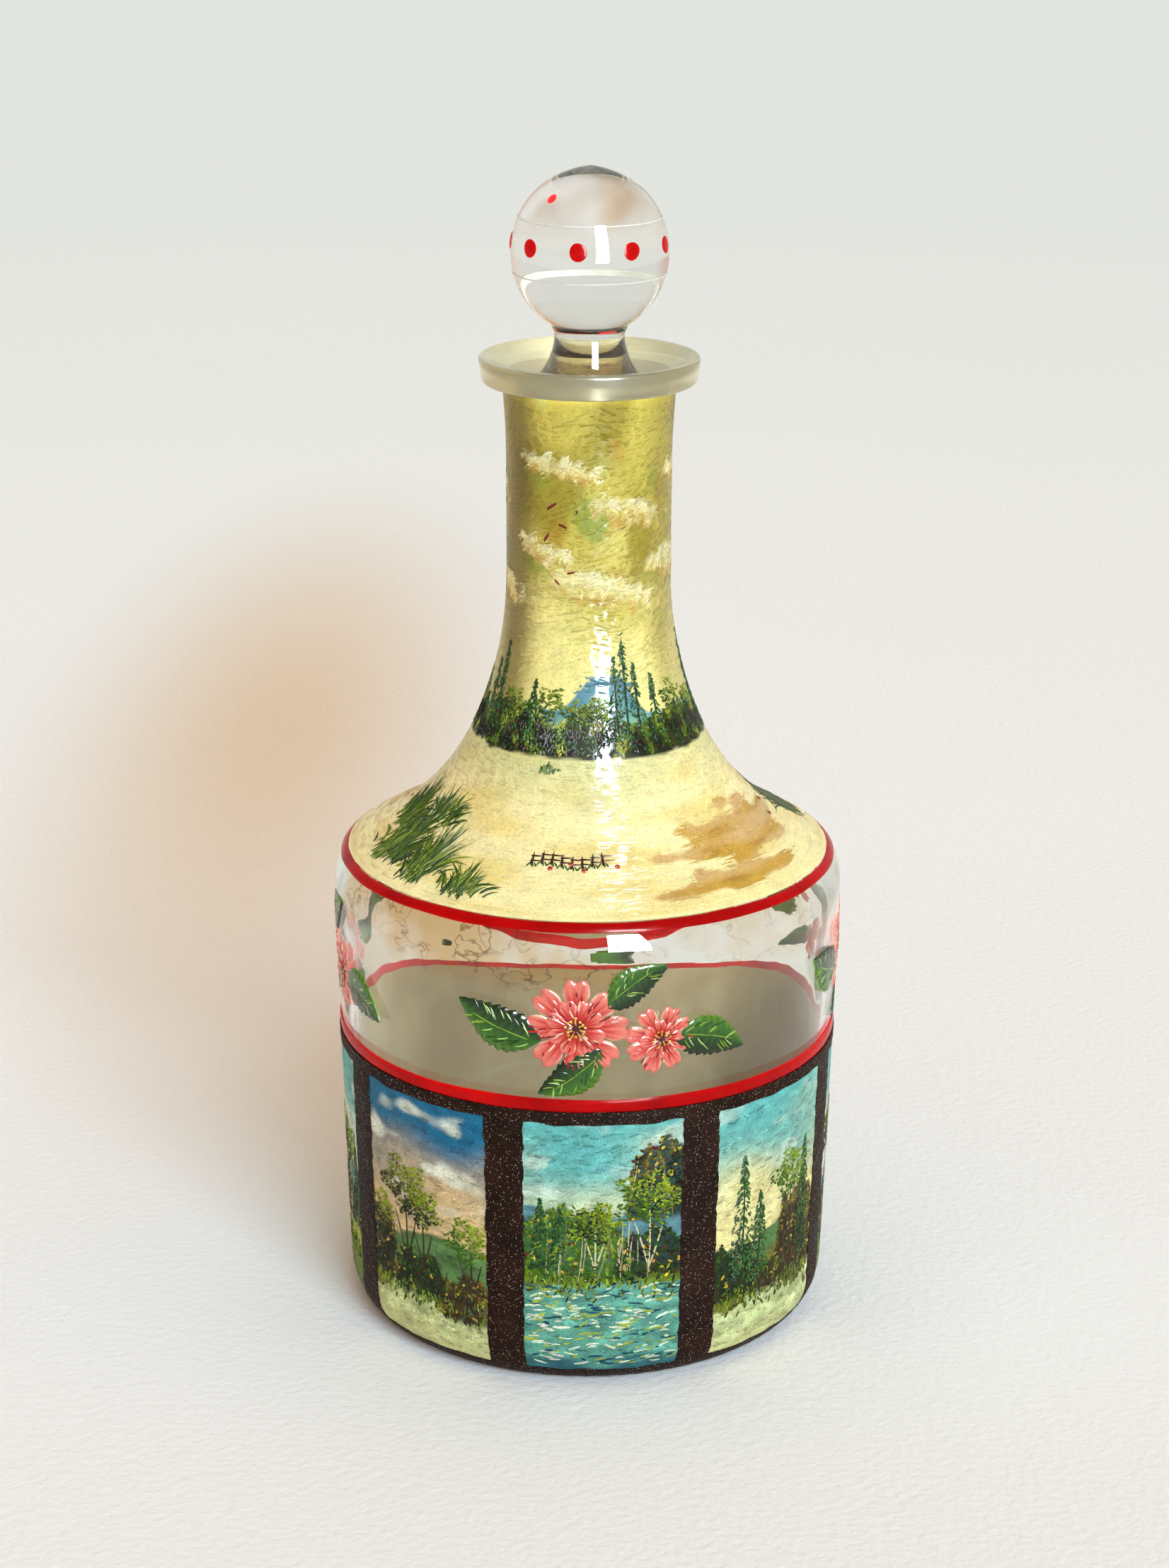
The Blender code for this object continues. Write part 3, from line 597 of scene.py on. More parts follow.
def oil_paint(name, varnish=0.45, rough=0.5, grain_scale=1500.0, grain_share=0.16, relief=0.00010):
    """Oil paint in the colours laid on the piece, with the grain of its pigment under a clear varnish."""
    material, shader = new_material(name)
    where = place_of(material)
    laid = add(material, "ShaderNodeVertexColor", layer_name="paint")
    fine = noise(material, where, grain_scale, 3.0)
    broad = noise(material, where, grain_scale / 9, 3.0)
    shade = spread(material, fine, 0.25, 0.75, 1 - grain_share, 1 + grain_share)
    wash = spread(material, broad, 0.3, 0.7, 1 - grain_share / 2, 1 + grain_share / 2)
    both = combine(material, "MULTIPLY", shade, wash)
    toned = add(material, "ShaderNodeVectorMath", {0: laid, "Scale": both}, operation="SCALE")
    link(material, toned, shader, "Base Color")
    link(material, spread(material, broad, 0.3, 0.7, rough - 0.08, rough + 0.10), shader, "Roughness")
    shader.inputs["Specular IOR Level"].default_value = 0.08
    shader.inputs["Coat Weight"].default_value = varnish
    shader.inputs["Coat Roughness"].default_value = 0.13
    bump(material, shader, fine, relief, 0.6)
    return material


def coat_lift(angle, climb):
    """The painter's hand leaves low ridges in the coat."""
    return COAT_LIFT + COAT_RELIEF * ripple(angle, climb * 2, 0.0022, 43)


coat_paint = oil_paint("varnished oil paint", 0.38)
parting = climb_to(COAT_PARTING)
for name, low, high in (("meadow_coat", COAT_FOOT_CLIMB, parting), ("sky_coat", parting, COAT_TOP_CLIMB)):
    coat = ring_coat(name, low, high, COAT_ROW, COAT_COLUMN_COUNT, coat_lift, UNDERCOAT_TOP / 2, coat_colour)
    coat.data.materials.append(coat_paint)
    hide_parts("neck_and_shoulder_coat")
    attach(coat, "bottle")


# The brush strokes on the coat. Each is a ridge of thick paint left by a round or a pointed brush: short
# curved ones in the sky and clouds, dabs for leaves in the wood, long flat ones over the meadow, and thin
# blades of grass. One ridge is modelled for each brush, and its copies are laid along the glass.
STROKE_STATION_SHARES = [(-0.38, 0.72), (-0.14, 1.0), (0.14, 0.94), (0.38, 0.62)]
BLADE_STATION_SHARES = [(-0.42, 0.85), (-0.16, 1.0), (0.12, 0.72), (0.34, 0.38)]
STROKE_SINK = 0.00004
STROKE_SHARP_ANGLE = 100


def brush_ridge(name, stations):
    """One ridge of paint, one long and one wide: a three-sided tube, thick in the middle and drawn out."""
    triangle = {"vertices": 3, "radius": 0.5, "fill_type": "NOTHING", "rotation": (0, pi / 2, 0)}
    piece = start_piece(name, bpy.ops.mesh.primitive_circle_add, **triangle)
    bpy.ops.object.transform_apply(location=True, rotation=True, scale=True)
    bpy.ops.object.mode_set(mode="EDIT")
    bpy.ops.mesh.select_all(action="SELECT")
    at, size = stations[0]
    bpy.ops.transform.translate(value=(at, 0, 0))
    bpy.ops.transform.resize(value=(1, size, size), center_override=(at, 0, 0))
    for (at, size), (next_at, next_size) in zip(stations, stations[1:]):
        bpy.ops.mesh.extrude_edges_move(TRANSFORM_OT_translate={"value": (next_at - at, 0, 0)})
        grow = next_size / size
        bpy.ops.transform.resize(value=(1, grow, grow), center_override=(next_at, 0, 0))
    for end in (0.5, -0.5):
        start = stations[-1][0] if end > 0 else stations[0][0]
        bpy.ops.object.mode_set(mode="OBJECT")
        for vertex in piece.data.vertices:
            vertex.select = abs(vertex.co.x - start) < 0.001
        for edge in piece.data.edges:
            edge.select = all(piece.data.vertices[i].select for i in edge.vertices)
        bpy.ops.object.mode_set(mode="EDIT")
        bpy.ops.mesh.select_mode(type="EDGE")
        bpy.ops.mesh.extrude_edges_move(TRANSFORM_OT_translate={"value": (end - start, 0, 0)})
        bpy.ops.mesh.merge(type="CENTER")
    bpy.ops.mesh.select_mode(type="VERT")
    bpy.ops.mesh.select_all(action="SELECT")
    bpy.ops.mesh.remove_doubles(threshold=0.001)
    bpy.ops.mesh.quads_convert_to_tris()
    bpy.ops.mesh.normals_make_consistent(inside=False)
    bpy.ops.object.mode_set(mode="OBJECT")
    shape = points_of(piece)
    corners = np.array([polygon.vertices[:] for polygon in piece.data.polygons])
    bpy.data.objects.remove(piece)
    crest = shape[:, 2].max()
    across = shape[:, 1] / np.ptp(shape[:, 1])
    rise = (shape[:, 2] - shape[:, 2].min()) / (crest - shape[:, 2].min())
    return np.c_[shape[:, 0], across, rise], corners


ROUND_BRUSH = brush_ridge("round_brush", STROKE_STATION_SHARES)
POINTED_BRUSH = brush_ridge("pointed_brush", BLADE_STATION_SHARES)


def brush(strokes, angle, climb, length, width, turn, bend, height, colour, off=0.0):
    """Adds strokes: place, length and width, turn from level in degrees, bend as a share of the length, the
    ridge's height, its colour, and how far off the paint below it starts."""
    colour = np.atleast_2d(colour)
    parts = (angle, climb, length, width, turn, bend, height, *colour.T, off)
    strokes.append(np.column_stack(np.broadcast_arrays(*[np.atleast_1d(part) for part in parts])))


def lay_strokes(name, strokes, ground, material, shape=ROUND_BRUSH):
    """Lays a copy of the brush ridge on the bottle for each stroke, over paint that lies at a level."""
    ridge, corners = shape
    rows = np.vstack(strokes)
    angle, climb, length, width, turn, bend, height = (rows[:, i, None] for i in range(7))
    along = ridge[None, :, 0] * length
    across = ridge[None, :, 1] * width + bend * length * (4 * ridge[None, :, 0] ** 2 - 1) / 2
    way = np.radians(turn)
    level, up = along * np.cos(way) - across * np.sin(way), along * np.sin(way) + across * np.cos(way)
    at_climb = climb + up
    at_angle = angle + np.degrees(level / face(at_climb)[0])
    rise = ridge[None, :, 2]
    off = ground + rows[:, 10, None] + np.where(rise > 0.2, rise * height, -STROKE_SINK)
    points = on_bottle(at_angle, at_climb, off).reshape(-1, 3)
    faces = (corners[None] + np.arange(len(rows))[:, None, None] * len(ridge)).reshape(-1, 3)
    mesh = bpy.data.meshes.new(name)
    mesh.vertices.add(len(points))
    mesh.vertices.foreach_set("co", points.ravel())
    mesh.loops.add(faces.size)
    mesh.loops.foreach_set("vertex_index", faces.ravel())
    mesh.polygons.add(len(faces))
    mesh.polygons.foreach_set("loop_start", np.arange(len(faces)) * 3)
    mesh.update()
    mesh.validate()
    piece = bpy.data.objects.new(name, mesh)
    bpy.context.scene.collection.objects.link(piece)
    bpy.ops.object.select_all(action="DESELECT")
    piece.select_set(True)
    bpy.context.view_layer.objects.active = piece
    bpy.ops.object.shade_smooth_by_angle(angle=radians(STROKE_SHARP_ANGLE))
    colour_points(piece, np.repeat(rows[:, 7:10], len(ridge), axis=0))
    mesh.materials.append(material)
    return piece


def speckled(draw, colours, amount=0.10, hue=0.03):
    """The same colours as the brush picks them up: a little lighter or darker each time."""
    colours = np.atleast_2d(colours)
    light = 1 + amount * draw.standard_normal((len(colours), 1))
    return np.clip(colours * light * (1 + hue * draw.standard_normal(colours.shape)), 0.002, 1)


def degrees_for(distance, climb):
    """The turn round the bottle that a distance takes at a climb."""
    return np.degrees(distance / face(climb)[0])


SKY_STROKE_COUNT = 5000
CLOUD_STROKE_COUNT = 110
SKY_RISE = 0.016
draw = np.random.default_rng(11)
sky_strokes = []
count = SKY_STROKE_COUNT
sky_foot = WOOD_FOOT + SKY_RISE
climb = sky_foot + (COAT_TOP_CLIMB - 0.0025 - sky_foot) * draw.uniform(0, 1, count) ** 1.1
angle = draw.uniform(-180, 180, count)
turn = 14 + 22 * ripple(angle, climb, 0.018, 51) + draw.normal(0, 8, count)
brush(
    sky_strokes, angle, climb, draw.uniform(0.0020, 0.0056, count), draw.uniform(0.00030, 0.00075, count),
    turn, draw.uniform(-0.14, 0.14, count), draw.uniform(0.00001, 0.00004, count),
    speckled(draw, coat_colour(angle, climb) * draw.choice([0.94, 1.0, 1.08], (count, 1)), 0.03),
)
for middle, height, half_width, half_height, slant in CLOUDS:
    count = CLOUD_STROKE_COUNT
    way, reach = draw.uniform(0, 2 * pi, count), np.sqrt(draw.uniform(0, 1, count))
    side = reach * np.cos(way) * half_width
    up = reach * np.sin(way) * half_height + side * sin(radians(slant))
    angle, climb = middle + degrees_for(side, climb_to(height)), climb_to(height) + up
    tone = coat_colour(angle, climb) * draw.choice([0.94, 1.0, 1.10], (count, 1))
    brush(
        sky_strokes, angle, climb, draw.uniform(0.0014, 0.0032, count), draw.uniform(0.0003, 0.0007, count),
        draw.normal(20, 26, count), draw.uniform(-0.3, 0.1, count), draw.uniform(0.00003, 0.00009, count),
        speckled(draw, tone, 0.04), 0.00002,
    )

# Dry leaves that drift across the sky, put in with the tip of the brush: angle, height, length and turn
LEAF_RED, FLECK_BROWN = tint(122, 22, 18), tint(84, 50, 24)
DRY_LEAVES = [
    (-26, 0.2060, 0.0030, 35), (-18, 0.2015, 0.0022, -20), (-30, 0.1985, 0.0026, 60),
    (-12, 0.1905, 0.0020, 15), (-22, 0.1880, 0.0017, -40), (-8, 0.2050, 0.0014, 70),
    (8, 0.1830, 0.0012, 10), (24, 0.2010, 0.0011, 30), (120, 0.2050, 0.0028, 20),
    (134, 0.1990, 0.0022, -30), (-120, 0.1930, 0.0026, 40),
]
for middle, height, length, turn in DRY_LEAVES:
    colour = LEAF_RED if length > 0.0015 else FLECK_BROWN
    for sign in (-1, 1):
        climb, width = climb_to(height) + sign * length * 0.07, length * 0.2
        brush(sky_strokes, middle, climb, length, width, turn, sign * 0.14, 0.00010, colour, 0.00006)
sky = lay_strokes("sky_brush_strokes", sky_strokes, COAT_LIFT, coat_paint)

WOOD_DAB_COUNT = 4200
LEAF_LIGHT, LEAF_YELLOW = tint(90, 114, 18), tint(152, 156, 42)
LEAF_TEAL, LEAF_BROWN = tint(34, 84, 54), tint(86, 62, 20)
wood_strokes = []
count = WOOD_DAB_COUNT
angle = draw.uniform(-180, 180, count)
rise_share = draw.uniform(0, 1, count) ** 0.9
climb = WOOD_FOOT + 0.0006 + rise_share * wood_top(angle)
picked = np.array([WOOD_DARK, WOOD_GREEN, LEAF_LIGHT, LEAF_YELLOW, LEAF_TEAL, LEAF_BROWN])
crown = ripple(angle, climb, 0.004, 52) + 0.9 * (rise_share - 0.35)
choice = np.where(crown > 0.85, 3, np.where(crown > 0.30, 2, np.where(crown > -0.35, 1, 0)))
odd = draw.uniform(0, 1, count)
choice = np.where(odd < 0.06, 4, np.where(odd > 0.93, 5, choice))
brush(
    wood_strokes, angle, climb, draw.uniform(0.0007, 0.0018, count), draw.uniform(0.0003, 0.0007, count),
    draw.uniform(30, 150, count), draw.uniform(-0.2, 0.2, count), draw.uniform(0.00006, 0.00016, count),
    speckled(draw, picked[choice], 0.16, 0.06), 0.00002,
)


def pointed_tree(strokes, draw, angle, foot, height, half_width, colours, count):
    """A fir or poplar: a dark stem, then dabs that slope down and out, lit on one side."""
    up = draw.uniform(0.06, 1, count)
    side = half_width * (1 - up) ** 0.7 * draw.uniform(-1, 1, count)
    brush(strokes, angle, foot + height / 2, height, 0.0005, 90, 0.02, 0.00010, colours[0], 0.00003)
    lit = ease(-0.6, 0.9, side / half_width + 0.5 * draw.standard_normal(count))
    brush(
        strokes, angle + degrees_for(side, foot), foot + up * height,
        draw.uniform(0.0007, 0.0015, count), draw.uniform(0.0003, 0.0006, count),
        np.where(side > 0, -50, 230) + draw.normal(0, 14, count), 0.1, draw.uniform(0.00008, 0.00018, count),
        speckled(draw, mixed(colours[0], colours[1], lit), 0.14, 0.05), 0.00006,
    )


def round_tree(strokes, draw, angle, foot, height, crown_radius, colours, count):
    """A leafy tree: a thin trunk with two boughs and a round crown of dabs, lit from above on one side."""
    for side, share in ((0, 0.62), (-0.35, 0.5), (0.35, 0.5)):
        at, middle = angle + degrees_for(side * crown_radius * 0.6, foot), foot + height * share / 1.7
        length, turn = height * share, 90 - side * 46
        brush(strokes, at, middle, length, 0.00045, turn, 0.04, 0.00010, colours[2], 0.00003)
    way, reach = draw.uniform(0, 2 * pi, count), np.sqrt(draw.uniform(0, 1, count))
    side, up = reach * np.cos(way), reach * np.sin(way)
    lumps = 1 + 0.22 * np.sin(way * 5 + angle)
    lit = ease(-0.7, 0.9, 0.7 * up + 0.5 * side + 0.45 * draw.standard_normal(count))
    at = angle + degrees_for(side * lumps * crown_radius, foot)
    climb = foot + height - crown_radius + up * lumps * crown_radius * 0.85
    brush(
        strokes, at, climb, draw.uniform(0.0006, 0.0013, count), draw.uniform(0.0003, 0.0006, count),
        draw.uniform(-60, 60, count), 0.12, draw.uniform(0.00008, 0.00018, count),
        speckled(draw, mixed(colours[0], colours[1], lit), 0.14, 0.05), 0.00006,
    )


TRUNK_DARK, TRUNK_PALE = tint(52, 34, 20), tint(206, 196, 150)
FIR_COLOURS = (tint(22, 58, 30), tint(70, 116, 44), TRUNK_DARK)
OAK_COLOURS = (tint(44, 70, 16), tint(138, 156, 44), TRUNK_DARK)
# Trees on the wood's edge: middle angle, height and half width
FIRS = [
    (16, 0.0210, 0.0026), (22, 0.0265, 0.0030), (29, 0.0195, 0.0026), (41, 0.0160, 0.0024),
    (-33, 0.0150, 0.0024), (-62, 0.0220, 0.0030), (-70, 0.0170, 0.0026), (86, 0.0230, 0.0030),
    (94, 0.0180, 0.0026), (128, 0.0200, 0.0028), (172, 0.0240, 0.0030), (-166, 0.0190, 0.0028),
    (-120, 0.0230, 0.0030), (-112, 0.0170, 0.0024),
]
OAKS = [
    (-22, 0.0150, 0.0042), (-6, 0.0120, 0.0036), (5, 0.0135, 0.0034), (56, 0.0150, 0.0044),
    (-48, 0.0140, 0.0042), (72, 0.0120, 0.0036), (110, 0.0160, 0.0046), (150, 0.0150, 0.0042),
    (-145, 0.0150, 0.0044), (-92, 0.0150, 0.0042),
]
for middle, height, half_width in FIRS:
    pointed_tree(wood_strokes, draw, middle, WOOD_FOOT + 0.0030, height, half_width, FIR_COLOURS, 90)
for middle, height, crown_radius in OAKS:
    round_tree(wood_strokes, draw, middle, WOOD_FOOT + 0.0020, height, crown_radius, OAK_COLOURS, 110)
leaf_paint = oil_paint("leaf green oil paint", 0.15)
wood = lay_strokes("wood_leaf_dabs", wood_strokes, COAT_LIFT, leaf_paint)

MEADOW_STROKE_COUNT = 3600
meadow_strokes = []
count = MEADOW_STROKE_COUNT
climb = draw.uniform(COAT_FOOT_CLIMB + 0.0008, WOOD_FOOT - 0.0006, count)
angle = draw.uniform(-180, 180, count)
brush(
    meadow_strokes, angle, climb, draw.uniform(0.005, 0.015, count), draw.uniform(0.00020, 0.0005, count),
    draw.normal(0, 2.5, count), draw.uniform(-0.02, 0.02, count), draw.uniform(0.000006, 0.00002, count),
    speckled(draw, coat_colour(angle, climb) * draw.choice([0.90, 1.0, 1.04], (count, 1)), 0.03),
)
meadow = lay_strokes("meadow_brush_strokes", meadow_strokes, COAT_LIFT, coat_paint)

blade_strokes = []
BLADE_DARK, BLADE_GREEN, BLADE_LIGHT = tint(20, 44, 10), tint(50, 84, 14), tint(138, 152, 44)
# Tufts of grass: middle angle, height of the foot, half width in degrees, length of the blades, number
TUFTS = [
    (-66, 0.1205, 11, 0.0230, 120), (-50, 0.1200, 9, 0.0190, 95), (-80, 0.1250, 11, 0.0170, 80),
    (-34, 0.1200, 8, 0.0120, 55), (-60, 0.1290, 10, 0.0120, 50), (108, 0.1205, 12, 0.0210, 110),
    (128, 0.1205, 12, 0.0180, 110), (-172, 0.1205, 12, 0.0200, 110), (-150, 0.1205, 9, 0.0140, 70),
    (-18, 0.1440, 4, 0.0030, 24),
]
for middle, height, half_width, length, count in TUFTS:
    side = np.clip(draw.normal(0, 0.5, count), -1.2, 1.2)
    size = length * draw.uniform(0.4, 1.1, count) * (1 - 0.5 * np.abs(side))
    foot = climb_to(height) + draw.uniform(0, 0.003, count) * (length / 0.01)
    lean = 90 - 46 * side + draw.normal(0, 17, count)
    tone = mixed(BLADE_DARK, BLADE_GREEN, draw.uniform(0, 1, count))
    tone = mixed(tone, BLADE_LIGHT, draw.uniform(0, 1, count) ** 3)
    brush(
        blade_strokes, middle + side * half_width, foot + size * 0.4, size,
        draw.uniform(0.0004, 0.0008, count), lean, -0.26 * side + draw.normal(0, 0.05, count),
        draw.uniform(0.00006, 0.00014, count), speckled(draw, tone, 0.14), 0.00006,
    )
# A low fence in the middle of the meadow, in dark brown, with grass at its feet
FENCE_FROM, FENCE_TO, FENCE_STEP, FENCE_HEIGHT = -17.0, 6.0, 3.1, 0.1268
FENCE_BROWN, FENCE_RED = tint(58, 26, 18), tint(128, 34, 26)
for number, at in enumerate(np.arange(FENCE_FROM, FENCE_TO, FENCE_STEP)):
    foot = climb_to(FENCE_HEIGHT) + 0.0006 * sin(number * 1.1)
    post_turn = 90 + 5 * sin(3 * number)
    brush(blade_strokes, at, foot + 0.0014, 0.0040, 0.00065, post_turn, 0.03, 0.00012, FENCE_BROWN, 0.00005)
    rail_colour = mixed(FENCE_BROWN, FENCE_RED, 0.5 * (number % 3 == 1))
    for rise in (0.0009, 0.0022):
        rail_turn = 4 * sin(number * 2 + rise * 900)
        brush(
            blade_strokes, at + FENCE_STEP / 2, foot + rise, 0.0036, 0.00042, rail_turn, 0.04, 0.00010,
            rail_colour, 0.00006,
        )
    for lean in (-28, 12, 34):
        side, turn = at + lean / 30, 90 + lean
        brush(blade_strokes, side, foot - 0.0002, 0.0016, 0.0004, turn, 0.1, 0.00010, BLADE_GREEN, 0.00006)
blades = lay_strokes("grass_blades", blade_strokes, COAT_LIFT, leaf_paint, POINTED_BRUSH)

poppy_strokes = []
POPPY_RED, POPPY_DARK = tint(196, 34, 20), tint(96, 14, 12)
# Poppies by the fence and round the back: angle, height of the bloom
POPPIES = [
    (-11, 0.1262), (-5, 0.1270), (-1, 0.1260), (9, 0.1266), (84, 0.1268), (90, 0.1290), (-98, 0.1275),
    (170, 0.1280),
]
for middle, height in POPPIES:
    bloom = climb_to(height)
    for turn in (0, 60, 120):
        tone = mixed(POPPY_RED, POPPY_DARK, 0.25 * (turn == 0))
        brush(poppy_strokes, middle, bloom, 0.0013, 0.0007, turn + middle, 0, 0.00014, tone, 0.00008)
    brush(poppy_strokes, middle, bloom, 0.0004, 0.0004, 0, 0, 0.00012, POPPY_DARK, 0.00016)
poppies = lay_strokes("poppies", poppy_strokes, COAT_LIFT, coat_paint)
for piece in (sky, wood, meadow, blades, poppies):
    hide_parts("neck_and_shoulder_coat")
    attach(piece, "bottle")


# The two red stripes. Each is one pull of a flat brush in thick red enamel while the bottle is turned on a
# wheel: it stands proud with round edges, wanders a little, and shows the bristles' lines.
STRIPE_HEIGHT = 0.00042
STRIPE_FOOT = -0.00005
STRIPE_WANDER = 0.00012
STRIPE_COLUMN_COUNT = 540
STRIPE_ROW_COUNT = 9


def enamel_stripe(name, low, high, seed):
    """A ring of enamel between two climbs, with a rounded back and wandering edges."""
    middle, half = (low + high) / 2, (high - low) / 2

    def swell(angle, climb):
        """The rounded height of the stripe, with the bristles' lines in it."""
        share = (climb - middle) / half
        bristles = 0.10 * np.sin(share * 14 + ripple(angle, 0, 0.02, seed))
        return STRIPE_HEIGHT * (0.45 + 0.55 * np.sqrt(np.clip(1 - share**2, 0, 1)) + bristles)

    def wander(angle, climb):
        """How far the two edges stray."""
        share = (climb - middle) / half
        above, below = ripple(angle, 0, 0.008, seed + 1), ripple(angle, 0, 0.006, seed + 2)
        return STRIPE_WANDER * np.where(share > 0, above, below) * np.abs(share)

    row = (high - low) / (STRIPE_ROW_COUNT - 1)
    return ring_coat(name, low, high, row, STRIPE_COLUMN_COUNT, swell, STRIPE_FOOT, None, wander)


def enamel_finish(name, deep, bright, scale=70.0):
    """Gloss enamel, deeper where it pooled, with dust and fine scratches in its shine."""
    material, shader = new_material(name)
    pooled = noise(material, place_of(material), scale, 4.0)
    link(material, blend(material, spread(material, pooled, 0.35, 0.7), deep, bright), shader, "Base Color")
    scuffs = noise(material, place_of(material, (1, 1, 6)), 500.0, 6.0, 0.7)
    link(material, spread(material, scuffs, 0.5, 0.75, 0.16, 0.5), shader, "Roughness")
    shader.inputs["Specular IOR Level"].default_value = 0.04
    shader.inputs["Coat Weight"].default_value = 0.10
    shader.inputs["Coat Roughness"].default_value = 0.08
    shader.inputs["Subsurface Weight"].default_value = 0.5
    shader.inputs["Subsurface Radius"].default_value = (1.0, 0.1, 0.1)
    shader.inputs["Subsurface Scale"].default_value = 0.002
    bump(material, shader, noise(material, place_of(material, (1, 1, 12)), 160.0, 3.0), 0.00010, 0.5)
    return material


red_enamel = enamel_finish("red stripe enamel", tint(152, 2, 4), tint(192, 4, 6))
BELLY_STRIPE_FOOT = 0.0723
BELLY_STRIPE_TOP = 0.0755
stripe_spans = {
    "shoulder_stripe": (COAT_FOOT_CLIMB - STRIPE_GAP - STRIPE_WIDTH, COAT_FOOT_CLIMB - STRIPE_GAP, 61),
    "belly_stripe": (climb_to(BELLY_STRIPE_FOOT), climb_to(BELLY_STRIPE_TOP), 71),
}
for name, (low, high, seed) in stripe_spans.items():
    stripe = enamel_stripe("red_" + name, low, high, seed)
    stripe.data.materials.append(red_enamel)
    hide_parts(name)
    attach(stripe, "bottle")


# The picture frame. Dark brown paint with fine raised grains whose pale specks are painted glints, laid with
# a
# stiff brush round the belly: a rail above, eight uprights and a thin rail round the heel. Its edges are as
# uneven as the brush left them.
FRAME_LIFT = 0.00058
FRAME_THICKNESS = 0.00044
FRAME_UNEVENNESS = 0.00004
FRAME_ROW = 0.0006
PANEL_COUNT = 8
PANEL_PITCH = 360 / PANEL_COUNT
FIRST_PANEL = 3.9
UPRIGHT_WIDTH = 0.0095
PICTURE_FOOT = 0.0044
PICTURE_TOP = 0.0693
FRAME_EDGE_WANDER = 0.00028
WINDOW_COLUMN_COUNT = 44
UPRIGHT_COLUMN_COUNT = 18
EDGE_RAGGED_WIDTH, END_RAGGED_HEIGHT = 0.0016, 0.0010
SAND_DEPTH = 0.00016
SHEET_SMOOTH_ANGLE = 50

opening = PANEL_PITCH - degrees(UPRIGHT_WIDTH / face(climb_to(PICTURE_TOP))[0])
picture_low, picture_high = climb_to(PICTURE_FOOT), climb_to(PICTURE_TOP)


def frame_angles():
    """The columns of the frame: coarse over the windows, fine over the uprights."""
    angles = []
    for panel in range(PANEL_COUNT):
        left = FIRST_PANEL + panel * PANEL_PITCH - opening / 2
        angles += list(left + opening * np.arange(WINDOW_COLUMN_COUNT) / WINDOW_COLUMN_COUNT)
        steps = (PANEL_PITCH - opening) * np.arange(UPRIGHT_COLUMN_COUNT) / UPRIGHT_COLUMN_COUNT
        angles += list(left + opening + steps)
    return np.array(angles + [angles[0] + 360])


def thicken(piece, thickness):
    """Gives a sheet its thickness on the side of the glass."""
    bpy.context.view_layer.objects.active = piece
    solidify = piece.modifiers.new("thickness", "SOLIDIFY")
    solidify.thickness, solidify.offset = thickness, -1
    bpy.ops.object.modifier_apply(modifier="thickness")


def brown_paint_with_painted_glints():
    """Near-black brown paint with raised grains, their specks painted pale as glints of light, dulled by
    wear.
    """
    material, shader = new_material("brown paint with painted glints")
    where = place_of(material)
    broad = noise(material, where, 120.0, 4.0)
    tone = blend(material, spread(material, broad, 0.35, 0.7), tint(26, 9, 2), tint(46, 20, 8))
    cells = {"Vector": where, "Scale": 2800.0, "Randomness": 1.0}
    grain = add(material, "ShaderNodeTexVoronoi", cells, feature="F1")
    pick = add(material, "ShaderNodeSeparateColor", {"Color": grain.node.outputs["Color"]}).node.outputs
    # Painted glints: pale specks in the base colour where the raised grains catch the light
    near = spread(material, grain, 0.36, 0.20)
    chosen = spread(material, pick[0], 0.74, 0.80)
    pale = combine(material, "MULTIPLY", near, chosen)
    glint_tone = blend(material, pick[1], tint(150, 118, 84), tint(232, 222, 196))
    link(material, blend(material, pale, tone, glint_tone), shader, "Base Color")
    link(material, spread(material, broad, 0.3, 0.7, 0.42, 0.62), shader, "Roughness")
    shader.inputs["Specular IOR Level"].default_value = 0.05
    shader.inputs["Coat Weight"].default_value = 0.03
    shader.inputs["Coat Roughness"].default_value = 0.25
    raised = combine(material, "ADD", near, noise(material, where, 800.0))
    bump(material, shader, raised, SAND_DEPTH, 0.8)
    return material


columns = frame_angles()
rows = np.r_[
    np.linspace(climb_to(BELLY_PAINT_FOOT), picture_low, 7),
    np.linspace(picture_low, picture_high, round((picture_high - picture_low) / FRAME_ROW))[1:-1],
    np.linspace(picture_high, climb_to(BELLY_PAINT_TOP), 6),
]
frame_coat = flat_sheet("frame_with_painted_glints", len(columns), len(rows))
angle, climb = np.tile(columns, len(rows)), np.repeat(rows, len(columns))
from_left = (angle - FIRST_PANEL + opening / 2) % PANEL_PITCH
to_side = np.minimum(np.abs(from_left - opening), np.abs(from_left - PANEL_PITCH))
to_side = np.minimum(np.abs(from_left), to_side)
to_end = np.minimum(np.abs(climb - picture_low), np.abs(climb - picture_high))
by_side = np.clip(1 - np.radians(to_side) * BODY_RADIUS / EDGE_RAGGED_WIDTH, 0, 1)
by_end = np.clip(1 - to_end / END_RAGGED_HEIGHT, 0, 1)
rough_edge = 0.7 * ripple(angle, climb, 0.0040, 81) + 0.5 * ripple(angle, climb, 0.0011, 82)
moved_angle = angle + np.degrees(FRAME_EDGE_WANDER / BODY_RADIUS) * by_side * rough_edge
by_end = by_end * (climb > picture_low - 0.001)
moved_climb = climb + FRAME_EDGE_WANDER * by_end * ripple(angle, climb, 0.0030, 83)
lift = FRAME_LIFT + FRAME_UNEVENNESS * ripple(angle, climb, 0.0012, 84)
seam = np.tile(np.arange(len(columns)) == len(columns) - 1, len(rows))
first = np.repeat(np.arange(len(rows)) * len(columns), len(columns))
points = on_bottle(moved_angle, moved_climb, lift)
points[seam] = points[first[seam]]
move_points(frame_coat, points)
bpy.ops.object.mode_set(mode="EDIT")
bpy.ops.mesh.select_mode(type="FACE")
bpy.ops.mesh.select_all(action="DESELECT")
bpy.ops.object.mode_set(mode="OBJECT")
